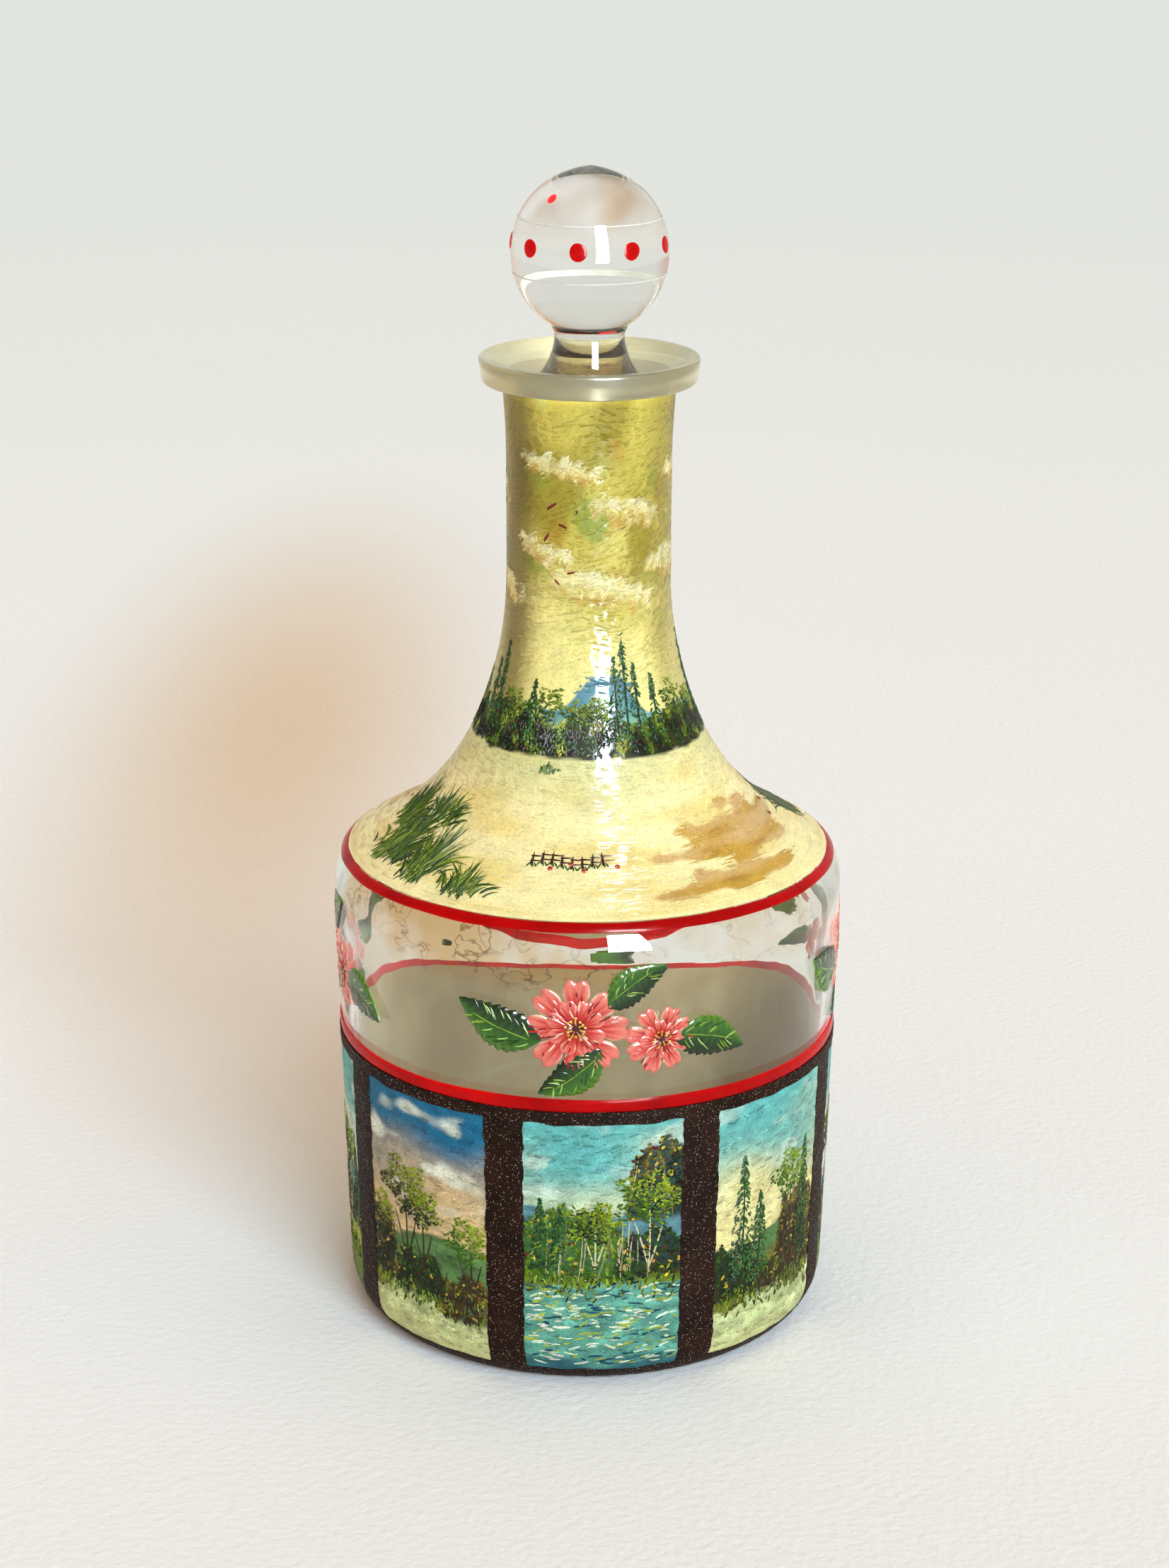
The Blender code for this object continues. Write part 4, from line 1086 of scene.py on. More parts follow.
for polygon in frame_coat.data.polygons:
    row, column = divmod(polygon.index, len(columns) - 1)
    in_rows = picture_low - JOIN_DISTANCE < rows[row] and rows[row + 1] < picture_high + JOIN_DISTANCE
    polygon.select = in_rows and column % (WINDOW_COLUMN_COUNT + UPRIGHT_COLUMN_COUNT) < WINDOW_COLUMN_COUNT
bpy.ops.object.mode_set(mode="EDIT")
bpy.ops.mesh.delete(type="FACE")
bpy.ops.mesh.select_mode(type="VERT")
bpy.ops.mesh.select_all(action="SELECT")
bpy.ops.mesh.remove_doubles(threshold=JOIN_DISTANCE)
bpy.ops.object.mode_set(mode="OBJECT")
thicken(frame_coat, FRAME_THICKNESS)
bpy.ops.object.shade_smooth_by_angle(angle=radians(SHEET_SMOOTH_ANGLE))
frame_coat.data.materials.append(brown_paint_with_painted_glints())
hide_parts("picture_frame_coat")
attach(frame_coat, "bottle")


# The eight pictures. Small country views in varnished oils: hills and a lake, an orchard, firs on a slope and
# birches in a meadow, each painted twice round the belly with other clouds and leaves. Each is a thin coat
# that runs just under the frame's edges, with its leaves, stems and grass put on as thick dabs.
PICTURE_LIFT = 0.00040
PICTURE_UNEVENNESS = 0.00003
PICTURE_UNDERLAP = 0.0006
DAB_MARGIN = 0.0006
PICTURE_COLUMN_COUNT = 76
PICTURE_ROW_COUNT = 120
picture_rise = picture_high - picture_low
SKY_DEEP, SKY_TURQUOISE, SKY_MILK = tint(22, 104, 140), tint(98, 178, 172), tint(206, 212, 164)
SKY_ROSE, SKY_CREAM, SKY_WHITE = tint(212, 182, 132), tint(236, 220, 150), tint(232, 236, 214)
FAR_BLUE, FAR_GREEN = tint(88, 132, 140), tint(92, 128, 70)
LAWN, LAWN_LIGHT = tint(110, 134, 28), tint(170, 184, 70)
LEAVES_DEEP, LEAVES_MID, LEAVES_LIT = tint(14, 30, 6), tint(54, 96, 8), tint(150, 172, 32)
OLIVE_DEEP, OLIVE_LIT = tint(50, 40, 12), tint(134, 118, 44)
WATER_DEEP, WATER_MID, WATER_FOAM = tint(24, 78, 98), tint(98, 166, 144), tint(220, 240, 206)
GROUND_PALE, GROUND_OLIVE, GROUND_DARK = tint(204, 204, 140), tint(120, 116, 44), tint(74, 66, 22)
SHADE_RED, MEADOW_PALE, TURNED_GOLD = tint(96, 34, 26), tint(206, 214, 150), tint(206, 176, 60)
# Each view: its sky above and below and share of cloud; the foreground's colour and height; layers of land
# from far to near with the height of the crest and its wave; thickets with left, right, foot, top and two
# greens; trees with kind, place across, foot, height and half width in metres, and number of dabs
VIEWS = {
    "lake": {
        "sky": (SKY_TURQUOISE, SKY_MILK), "cloud": 0.4, "fore": (WATER_DEEP, 0.10), "trunk": TRUNK_PALE,
        "land": [(FAR_BLUE, 0.66, 0.04), (LAWN, 0.42, 0.015), (WATER_MID, 0.36, 0.008)],
        "thickets": [
            (-1.1, 0.35, 0.38, 0.70, LEAVES_MID, LEAVES_LIT),
            (0.15, 1.1, 0.38, 0.60, LEAVES_DEEP, LEAVES_MID),
            (0.30, 1.15, 0.62, 0.96, LEAVES_DEEP, OLIVE_LIT),
        ],
        "trees": [
            ("pointed", -0.78, 0.40, 0.021, 0.0030, 170), ("pointed", -0.58, 0.40, 0.017, 0.0026, 130),
            ("round", -0.12, 0.40, 0.019, 0.0060, 260), ("round", 0.62, 0.38, 0.030, 0.0080, 420),
        ],
    },
    "orchard": {
        "sky": (SKY_DEEP, SKY_ROSE), "cloud": 0.8, "fore": (GROUND_PALE, 0.16), "trunk": TRUNK_DARK,
        "land": [(FAR_GREEN, 0.44, 0.03), (GROUND_OLIVE, 0.30, 0.03), (MEADOW_PALE, 0.20, 0.05)],
        "thickets": [
            (-1.15, -0.45, 0.22, 0.52, LEAVES_DEEP, OLIVE_LIT),
            (-0.5, 0.4, 0.20, 0.40, LEAVES_DEEP, LEAVES_MID),
            (0.35, 1.1, 0.14, 0.36, OLIVE_DEEP, OLIVE_LIT),
        ],
        "trees": [
            ("round", -0.30, 0.26, 0.032, 0.0078, 380), ("round", 0.05, 0.26, 0.024, 0.0058, 260),
            ("round", 0.72, 0.20, 0.027, 0.0066, 300), ("round", -0.80, 0.26, 0.020, 0.0052, 200),
        ],
    },
    "firs": {
        "sky": (SKY_TURQUOISE, SKY_CREAM), "cloud": 0.35, "fore": (GROUND_PALE, 0.12), "trunk": TRUNK_DARK,
        "land": [(FAR_GREEN, 0.46, 0.04), (GROUND_OLIVE, 0.34, 0.03), (MEADOW_PALE, 0.20, 0.04)],
        "thickets": [
            (0.05, 1.1, 0.22, 0.62, OLIVE_DEEP, OLIVE_LIT),
            (-1.15, -0.30, 0.22, 0.46, LEAVES_DEEP, LEAVES_MID),
            (-0.4, 0.3, 0.20, 0.34, OLIVE_DEEP, LEAVES_MID),
        ],
        "trees": [
            ("pointed", -0.62, 0.22, 0.038, 0.0050, 300), ("pointed", -0.30, 0.24, 0.027, 0.0042, 220),
            ("round", 0.30, 0.28, 0.030, 0.0068, 300), ("pointed", 0.72, 0.24, 0.033, 0.0046, 260),
        ],
    },
    "birches": {
        "sky": (SKY_TURQUOISE, SKY_WHITE), "cloud": 0.6, "fore": (GROUND_DARK, 0.12), "trunk": TRUNK_PALE,
        "land": [(FAR_BLUE, 0.50, 0.04), (LAWN_LIGHT, 0.38, 0.03), (LAWN, 0.22, 0.03)],
        "thickets": [
            (-1.1, 1.1, 0.30, 0.50, LEAVES_DEEP, LEAVES_MID),
            (-1.15, -0.1, 0.22, 0.34, OLIVE_DEEP, LEAVES_LIT),
        ],
        "trees": [
            ("round", -0.55, 0.22, 0.038, 0.0072, 340), ("round", -0.24, 0.24, 0.032, 0.0060, 260),
            ("round", 0.52, 0.26, 0.028, 0.0070, 320), ("pointed", 0.86, 0.30, 0.022, 0.0034, 150),
        ],
    },
}
PICTURE_ORDER = ["lake", "firs", "birches", "orchard", "firs", "lake", "birches", "orchard"]
DABS_PER_SHARE = 2300
SKY_DAB_COUNT, LAND_DAB_COUNT, WATER_DAB_COUNT, TUFT_DAB_COUNT = 300, 420, 340, 150


def crest_of(thicket, across):
    """How high a thicket stands at a place across the picture, as a share of the picture's height."""
    left, right, foot, top, *_ = thicket
    u = np.clip((across - (left + right) / 2) / (right - left) * 2, -1, 1)
    lumps = 0.90 + 0.07 * np.sin(13 * across + 30 * top) + 0.05 * np.sin(29 * across + 7 * foot)
    return foot + (top - foot) * (1 - u**4) ** 0.5 * lumps


def view_colour(view, seed, across, up, angle, climb):
    """The colour of a view's ground layers; across runs -1 to 1 and up runs 0 to 1 over the picture."""
    above, below = VIEWS[view]["sky"]
    colour = mixed(below, above, ease(0.50, 0.95, up + 0.08 * ripple(angle, climb, 0.010, seed)))
    puffs = ripple(angle, climb * 1.5, 0.0075, seed + 1) + 0.4 * ripple(angle, climb, 0.0025, seed + 2)
    puffs = ease(0.35, 1.1, puffs) * ease(0.5, 0.7, up)
    colour = mixed(colour, SKY_WHITE, VIEWS[view]["cloud"] * puffs)
    for number, (tone, top, wave) in enumerate(VIEWS[view]["land"]):
        crest = top + wave * np.sin(across * (2.6 + number) + seed + number)
        crest = crest + 0.008 * ripple(angle, climb, 0.0016, seed + 3 + number)
        side = ease(-1.2, 1.2, ripple(angle, climb * 1.8, 0.0045, seed + 9 + number))
        body = mixed(tone * 0.66, np.minimum(tone * 1.16, 0.95), side)
        colour = mixed(colour, body, 1 - ease(-0.006, 0.006, up - crest))
    for thicket in VIEWS[view]["thickets"]:
        left, right, foot, top, dark, _ = thicket
        inside = (1 - ease(-0.02, 0.0, up - crest_of(thicket, across))) * ease(-0.02, 0.02, up - foot)
        colour = mixed(colour, dark, 0.9 * inside * (across > left) * (across < right))
    tone, height = VIEWS[view]["fore"]
    fore = 1 - ease(0.0, height, up + 0.03 * ripple(angle, climb, 0.004, seed + 12))
    colour = mixed(colour, tone, 0.85 * fore)
    return colour * (1 + 0.12 * ripple(angle, climb * 1.4, 0.0020, seed + 13))[..., None]


def picture_strokes(view, seed, middle):
    """The thick dabs of one picture, as strokes on the bottle."""
    draw = np.random.default_rng(seed)
    strokes = []

    def at(across, up):
        """Angle and climb of a place in the picture."""
        return middle + np.asarray(across) * opening / 2, picture_low + np.asarray(up) * picture_rise

    def scatter(count, low_up, high_up, lengths, widths, turns, colour_at, height=0.00010):
        """Dabs strewn over a band of the picture, coloured by what lies under them."""
        across, up = draw.uniform(-0.97, 0.97, count), draw.uniform(low_up, high_up, count)
        angle, climb = at(across, up)
        tone = colour_at(across, up, angle, climb)
        brush(
            strokes, angle, climb, draw.uniform(*lengths, count), draw.uniform(*widths, count),
            draw.normal(turns[0], turns[1], count), draw.uniform(-0.15, 0.15, count),
            height * draw.uniform(0.6, 1.3, count), speckled(draw, tone, 0.10, 0.04),
        )

    def ground(across, up, angle, climb):
        """The picture's own colour, now a little lighter and now darker."""
        own = view_colour(view, seed, across, up, angle, climb)
        return own * draw.choice([0.86, 1.0, 1.16], (len(up), 1))

    land, trunk = VIEWS[view]["land"], VIEWS[view]["trunk"]
    skyline = land[0][1]
    scatter(SKY_DAB_COUNT, skyline, 0.97, (0.0012, 0.0030), (0.0004, 0.0009), (10, 16), ground, 0.00004)
    scatter(LAND_DAB_COUNT, 0.03, skyline, (0.0010, 0.0026), (0.0004, 0.0008), (4, 20), ground, 0.00007)
    if view == "lake":
        count = WATER_DAB_COUNT
        tones = [WATER_FOAM, SKY_WHITE, WATER_MID, LAWN_LIGHT, WATER_DEEP]
        across, up = draw.uniform(-0.96, 0.96, count), draw.uniform(0.03, 0.35, count)
        angle, climb = at(across, up)
        brush(
            strokes, angle, climb, draw.uniform(0.0012, 0.0042, count), draw.uniform(0.0003, 0.0007, count),
            draw.normal(4, 12, count), draw.uniform(-0.2, 0.2, count), 0.00010,
            speckled(draw, np.array(tones)[draw.integers(0, len(tones), count)], 0.08), 0.00002,
        )
    for number, thicket in enumerate(VIEWS[view]["thickets"]):
        left, right, foot, top, dark, light = thicket
        width = min(right, 1) - max(left, -1)
        count = round(DABS_PER_SHARE * width / 2 * (top - foot))
        across = draw.uniform(max(left, -1), min(right, 1), count)
        rise = draw.uniform(0, 1, count) ** 0.85
        up = foot + (crest_of(thicket, across) - foot) * rise
        angle, climb = at(across, up)
        lumps = ripple(angle, climb, 0.0030, seed + 14 + number) + 0.8 * (rise - 0.5)
        tone = mixed(dark, light, ease(-0.7, 1.4, lumps + 0.45 * draw.standard_normal(count)))
        odd = draw.uniform(0, 1, (count, 1))
        tone = np.where(odd < 0.05, SHADE_RED, np.where(odd > 0.94, TURNED_GOLD, tone))
        brush(
            strokes, angle, climb, draw.uniform(0.0007, 0.0017, count), draw.uniform(0.0004, 0.0008, count),
            draw.uniform(-70, 110, count), 0.12, draw.uniform(0.00006, 0.00016, count),
            speckled(draw, tone, 0.14, 0.05), 0.00002,
        )
        stems = round(8 * width)
        across = draw.uniform(max(left, -0.95), min(right, 0.95), stems)
        angle, climb = at(across, foot + (top - foot) * draw.uniform(0.2, 0.5, stems))
        brush(
            strokes, angle, climb, (top - foot) * picture_rise * draw.uniform(0.4, 0.8, stems), 0.00032,
            draw.normal(90, 7, stems), 0.05, 0.0001,
            mixed(LEAVES_DEEP, trunk, draw.uniform(0.2, 1, stems)), 0.00004,
        )
    greens = [(LEAVES_DEEP, LEAVES_LIT), (LEAVES_MID, LEAVES_LIT), (OLIVE_DEEP, LEAVES_LIT)]
    for number, (kind, across, foot, height, size, count) in enumerate(VIEWS[view]["trees"]):
        angle, climb = at(across + draw.uniform(-0.05, 0.05), foot)
        dark, light = FIR_COLOURS[:2] if kind == "pointed" else greens[(number + seed // 20) % 3]
        make = round_tree if kind == "round" else pointed_tree
        height = height * draw.uniform(0.92, 1.08)
        make(strokes, draw, angle, climb, height, size, (dark, light, trunk), count)
    count = TUFT_DAB_COUNT
    across, up = draw.uniform(-0.95, 0.95, count), land[-1][1] + draw.normal(0, 0.025, count)
    angle, climb = at(across, up)
    tone = mixed(LEAVES_DEEP, LEAVES_LIT, draw.uniform(0, 1, count) ** 1.5)
    brush(
        strokes, angle, climb, draw.uniform(0.0010, 0.0024, count), 0.0005, draw.normal(80, 25, count), 0.1,
        0.00010, speckled(draw, tone, 0.12), 0.00003,
    )
    rows = np.vstack(strokes)
    inside = (np.abs(rows[:, 0] - middle) < opening / 2 * 0.985) & (rows[:, 1] > picture_low + DAB_MARGIN)
    return [rows[inside & (rows[:, 1] < picture_high - DAB_MARGIN)]]


picture_paint = oil_paint("stippled oil paint", 0.12, 0.5, 2600.0, 0.34, 0.0002)
for panel, view in enumerate(PICTURE_ORDER):
    middle = FIRST_PANEL + panel * PANEL_PITCH
    middle -= 360 * (middle > 180)
    half = opening / 2 + degrees(PICTURE_UNDERLAP / BODY_RADIUS)
    picture = flat_sheet(f"picture_ground_{panel + 1}", PICTURE_COLUMN_COUNT, PICTURE_ROW_COUNT)
    across = np.tile(np.linspace(-1, 1, PICTURE_COLUMN_COUNT), PICTURE_ROW_COUNT)
    climb = np.linspace(picture_low - PICTURE_UNDERLAP, picture_high + PICTURE_UNDERLAP, PICTURE_ROW_COUNT)
    climb = np.repeat(climb, PICTURE_COLUMN_COUNT)
    angle, up = middle + across * half, (climb - picture_low) / picture_rise
    seed = 200 + 20 * panel
    lift = PICTURE_LIFT + PICTURE_UNEVENNESS * ripple(angle, climb, 0.0016, seed)
    move_points(picture, on_bottle(angle, climb, lift))
    colour_points(picture, view_colour(view, seed, across, up, angle, climb))
    thicken(picture, PICTURE_LIFT - UNDERCOAT_TOP / 2)
    bpy.ops.object.shade_smooth_by_angle(angle=radians(SHEET_SMOOTH_ANGLE))
    picture.data.materials.append(picture_paint)
    strokes = picture_strokes(view, seed, middle)
    dabs = lay_strokes(f"picture_dabs_{panel + 1}", strokes, PICTURE_LIFT, picture_paint)
    for piece in (picture, dabs):
        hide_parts(f"picture_{panel + 1}")
        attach(piece, "bottle")


# The flower sprays. Four alike round the bare band, in oils straight on the glass: one large and one small
# open double blossom in coral and pink, with stamens, and four saw-edged leaves. The paint is thick, so each
# petal and leaf is a low pillow with a flat back that shows through the glass from behind.
SPRAY_COUNT = 4
SPRAY_HEIGHT = 0.0925
SPRAY_HALF_WIDTH = 0.0350
BLOSSOM_SHARES = [(-0.19, 0.03, 0.35), (0.38, -0.07, 0.25)]
LEAF_SHARES = [
    (-0.42, -0.06, -1.00, 0.17), (0.46, -0.06, 1.00, -0.22), (0.02, 0.18, 0.42, 0.46),
    (-0.02, -0.12, -0.44, -0.45),
]
LEAF_FULLNESS_SHARE = 0.20
LEAF_CURL_SHARE = 0.08
PETAL_COUNT = 8
STAMEN_COUNT = 14
# Rings of petals: reach as a share of the blossom, level above the glass, half the angle of a petal
PETAL_RINGS = [(1.0, 0.00006, 0.36), (0.62, 0.00016, 0.38)]
PETAL_LIFT = 0.00030
PETAL_BACK = -0.00005
PETAL_COLUMN_COUNT = 15
PETAL_ROW_COUNT = 12
LEAF_COLUMN_COUNT = 9
LEAF_ROW_COUNT = 41
LEAF_TEETH = 11
TOUCH_COUNT = 56
VEIN_COUNT = 22
CORAL, CORAL_DEEP = tint(204, 32, 22), tint(146, 12, 12)
HEART, STAMEN_GOLD = tint(90, 10, 12), tint(226, 176, 60)
PINK, PINK_CREAM = tint(238, 128, 110), tint(254, 214, 186)
LEAF_GREEN, LEAF_DEEP, LEAF_SUN = tint(50, 104, 14), tint(14, 44, 10), tint(140, 172, 36)
LEAF_LIGHT_STROKE = tint(176, 206, 110)
spray_climb = climb_to(SPRAY_HEIGHT)


def pillow(name, column_count, row_count, top, back, tones):
    """A flat sheet is thickened, its front laid on the points of top and its back on those of back."""
    piece = flat_sheet(name, column_count, row_count)
    thicken(piece, 0.001)
    move_points(piece, np.vstack([top, back]))
    colour_points(piece, np.vstack([tones, tones]))
    piece.data.polygons.foreach_set("use_smooth", np.ones(len(piece.data.polygons), bool))
    return piece


def spray_place(middle, side, up):
    """The angle and climb of a place at a distance to the side of and above a spray's middle."""
    climb = spray_climb + up
    return middle + degrees(side / face(climb)[0]), climb


def on_spray(middle, side, up, off):
    """The point of a spray at a distance to the side of and above its middle."""
    climb = spray_climb + up
    return on_bottle(middle + np.degrees(side / face(climb)[0]), climb, off)


def petal(name, middle, side, up, radius, turn, wedge, level):
    """One petal of a blossom: a spoon with a notched tip, dark at its foot and pale along its rim."""
    p = np.tile(np.linspace(-1, 1, PETAL_COLUMN_COUNT), PETAL_ROW_COUNT)
    q = np.repeat(np.linspace(0.10, 1, PETAL_ROW_COUNT), PETAL_COLUMN_COUNT)
    reach = radius * (1 - 0.30 * np.abs(p) ** 3 - 0.10 * np.exp(-((p / 0.22) ** 2)))
    way = turn + p * wedge * (0.40 + 0.60 * np.sin(q**1.3 * pi / 2))
    x, y = side + q * reach * np.sin(way), up + q * reach * np.cos(way)
    swell = np.clip((1 - p**6) * (1 - q**8), 0, 1) ** 0.5
    swell *= 0.40 + 0.60 * q - 0.16 * np.exp(-((p / 0.2) ** 2))
    front = on_spray(middle, x, y, level + PETAL_LIFT * swell)
    streak = np.sin(p * 11 + 5 * turn) / 2 + np.sin(p * 23 + 9 * turn) / 4
    tone = mixed(CORAL_DEEP, CORAL, ease(0.10, 0.50, q + 0.20 * streak))
    tone = mixed(tone, PINK, 0.9 * ease(0.45, 0.95, q + 0.22 * streak))
    tone = mixed(tone, PINK_CREAM, ease(0.74, 1.0, 0.72 * q + 0.30 * np.abs(p) ** 3 + 0.10 * streak))
    back = on_spray(middle, x, y, PETAL_BACK)
    return pillow(name, PETAL_COLUMN_COUNT, PETAL_ROW_COUNT, front, back, tone)


def leaf(name, middle, base, tip):
    """One saw-edged leaf with a sunk midrib, lit along one half."""
    base, tip = np.array(base), np.array(tip)
    run = tip - base
    across = np.array([-run[1], run[0]])
    p = np.tile(np.linspace(-1, 1, LEAF_COLUMN_COUNT), LEAF_ROW_COUNT)
    q = np.repeat(np.linspace(0, 1, LEAF_ROW_COUNT), LEAF_COLUMN_COUNT)
    teeth = 1 + 0.22 * (1 - (q * LEAF_TEETH) % 1) * (np.abs(p) > 0.95) * (q > 0.08)
    half = LEAF_FULLNESS_SHARE * 1.25 * np.sin(pi * q**0.85) ** 0.8 * (1 - 0.25 * q) * teeth + 0.004
    curl = LEAF_CURL_SHARE * np.sin(pi * q)
    spot = base + q[:, None] * run + (p * half + curl)[:, None] * across
    veins = 0.5 + 0.5 * np.cos(q * LEAF_TEETH * 2 * pi + np.abs(p) * 5)
    swell = np.sqrt(np.clip(1 - p**6, 0, 1)) * (0.55 + 0.3 * np.abs(p) + 0.15 * veins)
    front = on_spray(middle, spot[:, 0], spot[:, 1], 0.00010 + PETAL_LIFT * swell)
    tone = mixed(LEAF_DEEP, LEAF_GREEN, ease(-0.9, 0.8, p + 0.4 * veins - 0.3))
    tone = mixed(tone, LEAF_SUN, 0.5 * ease(0.55, 1.0, np.abs(p) * (0.5 + 0.5 * veins)) * (p > 0))
    back = on_spray(middle, spot[:, 0], spot[:, 1], PETAL_BACK)
    return pillow(name, LEAF_COLUMN_COUNT, LEAF_ROW_COUNT, front, back, tone)


def join(name, pieces):
    """Joins pieces into one object."""
    bpy.ops.object.select_all(action="DESELECT")
    for piece in pieces:
        piece.select_set(True)
    bpy.context.view_layer.objects.active = pieces[0]
    bpy.ops.object.join()
    pieces[0].name = pieces[0].data.name = name
    return pieces[0]


flower_paint = oil_paint("thick flower paint", 0.7, 0.38, 1700.0, 0.12, 0.00012)
for spray in range(SPRAY_COUNT):
    middle = FIRST_PANEL + 90 * spray
    draw = np.random.default_rng(500 + spray)
    petals, strokes = [], []
    for number, (side, up, radius) in enumerate(BLOSSOM_SHARES):
        side, up, radius = (share * SPRAY_HALF_WIDTH for share in (side, up, radius))
        for ring, (size, level, wedge) in enumerate(PETAL_RINGS):
            for k in range(PETAL_COUNT):
                turn = 2 * pi * (k + 0.5 * ring) / PETAL_COUNT + 0.3 * number + draw.uniform(-0.06, 0.06)
                reach = size * radius * draw.uniform(0.92, 1.05)
                petals.append(petal("petal", middle, side, up, reach, turn, wedge, level))
        for k in range(TOUCH_COUNT):
            turn, share = draw.uniform(0, 2 * pi), draw.uniform(0.22, 0.86)
            tone = [PINK_CREAM, PINK, CORAL_DEEP, CORAL, CORAL_DEEP][k % 5]
            x, y = side + share * radius * sin(turn), up + share * radius * cos(turn)
            level = 0.00011 if share < 0.60 else 0
            brush(
                strokes, *spray_place(middle, x, y), radius * draw.uniform(0.10, 0.24),
                radius * draw.uniform(0.02, 0.045), 90 - degrees(turn) + draw.normal(0, 8),
                draw.uniform(-0.08, 0.08), 0.00006, speckled(draw, tone, 0.06)[0], level,
            )
        for k in range(STAMEN_COUNT):
            turn = 2 * pi * k / STAMEN_COUNT + draw.uniform(-0.1, 0.1)
            reach = radius * draw.uniform(0.10, 0.17)
            at = spray_place(middle, side + reach * sin(turn), up + reach * cos(turn))
            tone = HEART if k % 2 else STAMEN_GOLD
            brush(strokes, *at, radius * 0.13, radius * 0.03, 90 - degrees(turn), 0, 0.00006, tone, 0.00016)
            reach = reach * 1.5
            at = spray_place(middle, side + reach * sin(turn), up + reach * cos(turn))
            lean = draw.uniform(0, 180)
            brush(strokes, *at, radius * 0.06, radius * 0.05, lean, 0, 0.00008, STAMEN_GOLD, 0.00020)
        at = spray_place(middle, side, up)
        brush(strokes, *at, radius * 0.14, radius * 0.13, 0, 0, 0.00008, HEART, 0.00018)
    leaves = []
    for bx, by, tx, ty in LEAF_SHARES:
        base, tip = np.array((bx, by)) * SPRAY_HALF_WIDTH, np.array((tx, ty)) * SPRAY_HALF_WIDTH
        leaves.append(leaf("leaf", middle, base, tip))
        run = tip - base
        length, lean = np.hypot(*run), degrees(atan2(run[1], run[0]))
        across = np.array((-run[1], run[0]))
        for k in range(VEIN_COUNT):
            q, sign = draw.uniform(0.14, 0.86), (-1) ** k
            out = sign * LEAF_FULLNESS_SHARE * sin(pi * q**0.85) * draw.uniform(0.3, 0.85)
            x, y = base + q * run + (out + LEAF_CURL_SHARE * sin(pi * q)) * across
            tone = [LEAF_LIGHT_STROKE, LEAF_SUN, LEAF_DEEP][k % 3]
            brush(
                strokes, *spray_place(middle, x, y), length * draw.uniform(0.10, 0.17), length * 0.014,
                lean + sign * 38 + draw.normal(0, 5), -0.1 * sign, 0.00005, speckled(draw, tone, 0.1)[0],
            )
        for share in (0.3, 0.62):
            x, y = base + share * run + LEAF_CURL_SHARE * sin(pi * share) * across
            turn = lean + 20 * (0.5 - share)
            brush(
                strokes, *spray_place(middle, x, y), length * 0.36, length * 0.012, turn, -0.02, 0.00004,
                LEAF_SUN, -0.00002,
            )
    blossoms = join(f"spray_blossoms_{spray + 1}", petals)
    leaves = join(f"spray_leaves_{spray + 1}", leaves)
    touches = lay_strokes(f"spray_touches_{spray + 1}", strokes, 0.00006 + PETAL_LIFT * 0.9, flower_paint)
    for piece in (blossoms, leaves, touches):
        if piece is not touches:
            piece.data.materials.append(flower_paint)
        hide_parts(f"flower_spray_{spray + 1}")
        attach(piece, "bottle")


# The stopper. Solid clear glass in one piece: a tapered shank, ground to fit the seat, a waisted stem, and a
# ball that ends in the slight point where it was drawn off. The ball and the stem are polished by fire.
SEAT_CLEARANCE = 0.0003
SHANK_CHAMFER = 0.0010
STEM_RADIUS = 0.0082
STEM_HEIGHT = 0.0052
BALL_RADIUS = 0.01845
BALL_HALF_HEIGHT = 0.0193
BALL_RISE = 0.0242
BALL_JOINT_RADIUS = 0.0092
TIP_RISE = 0.0006
TIP_RADIUS = 0.0080
BALL_STEP_COUNT = 64
STOPPER_SIDE_COUNT = 128


def stopper_line():
    """The cut through the stopper from the shank's end up to the ball's tip."""
    t = np.linspace(0, 1, CURVE_STEP_COUNT)
    shank, foot = seat_foot_radius - SEAT_CLEARANCE, seat_foot
    top = SEAT_RADIUS - SEAT_CLEARANCE
    end = [(0, foot), (shank - SHANK_CHAMFER, foot), (shank, foot + SHANK_CHAMFER)]
    stem = np.c_[top - (top - STEM_RADIUS) * (1 - (1 - t) ** 2), mouth + (STEM_HEIGHT + DISH_DEPTH) * t]
    share = BALL_JOINT_RADIUS / BALL_RADIUS
    first = atan2(-sqrt(1 - share**2), share)
    turn = np.linspace(first, pi / 2, BALL_STEP_COUNT)
    radius = BALL_RADIUS * np.cos(turn)
    drawn = TIP_RISE * np.clip(1 - radius / TIP_RADIUS, 0, 1) ** 2 * (turn > 0)
    radius[-1] = 0
    ball = np.c_[radius, lip_top + BALL_RISE + BALL_HALF_HEIGHT * np.sin(turn) + drawn]
    return np.vstack([end, stem, ball])


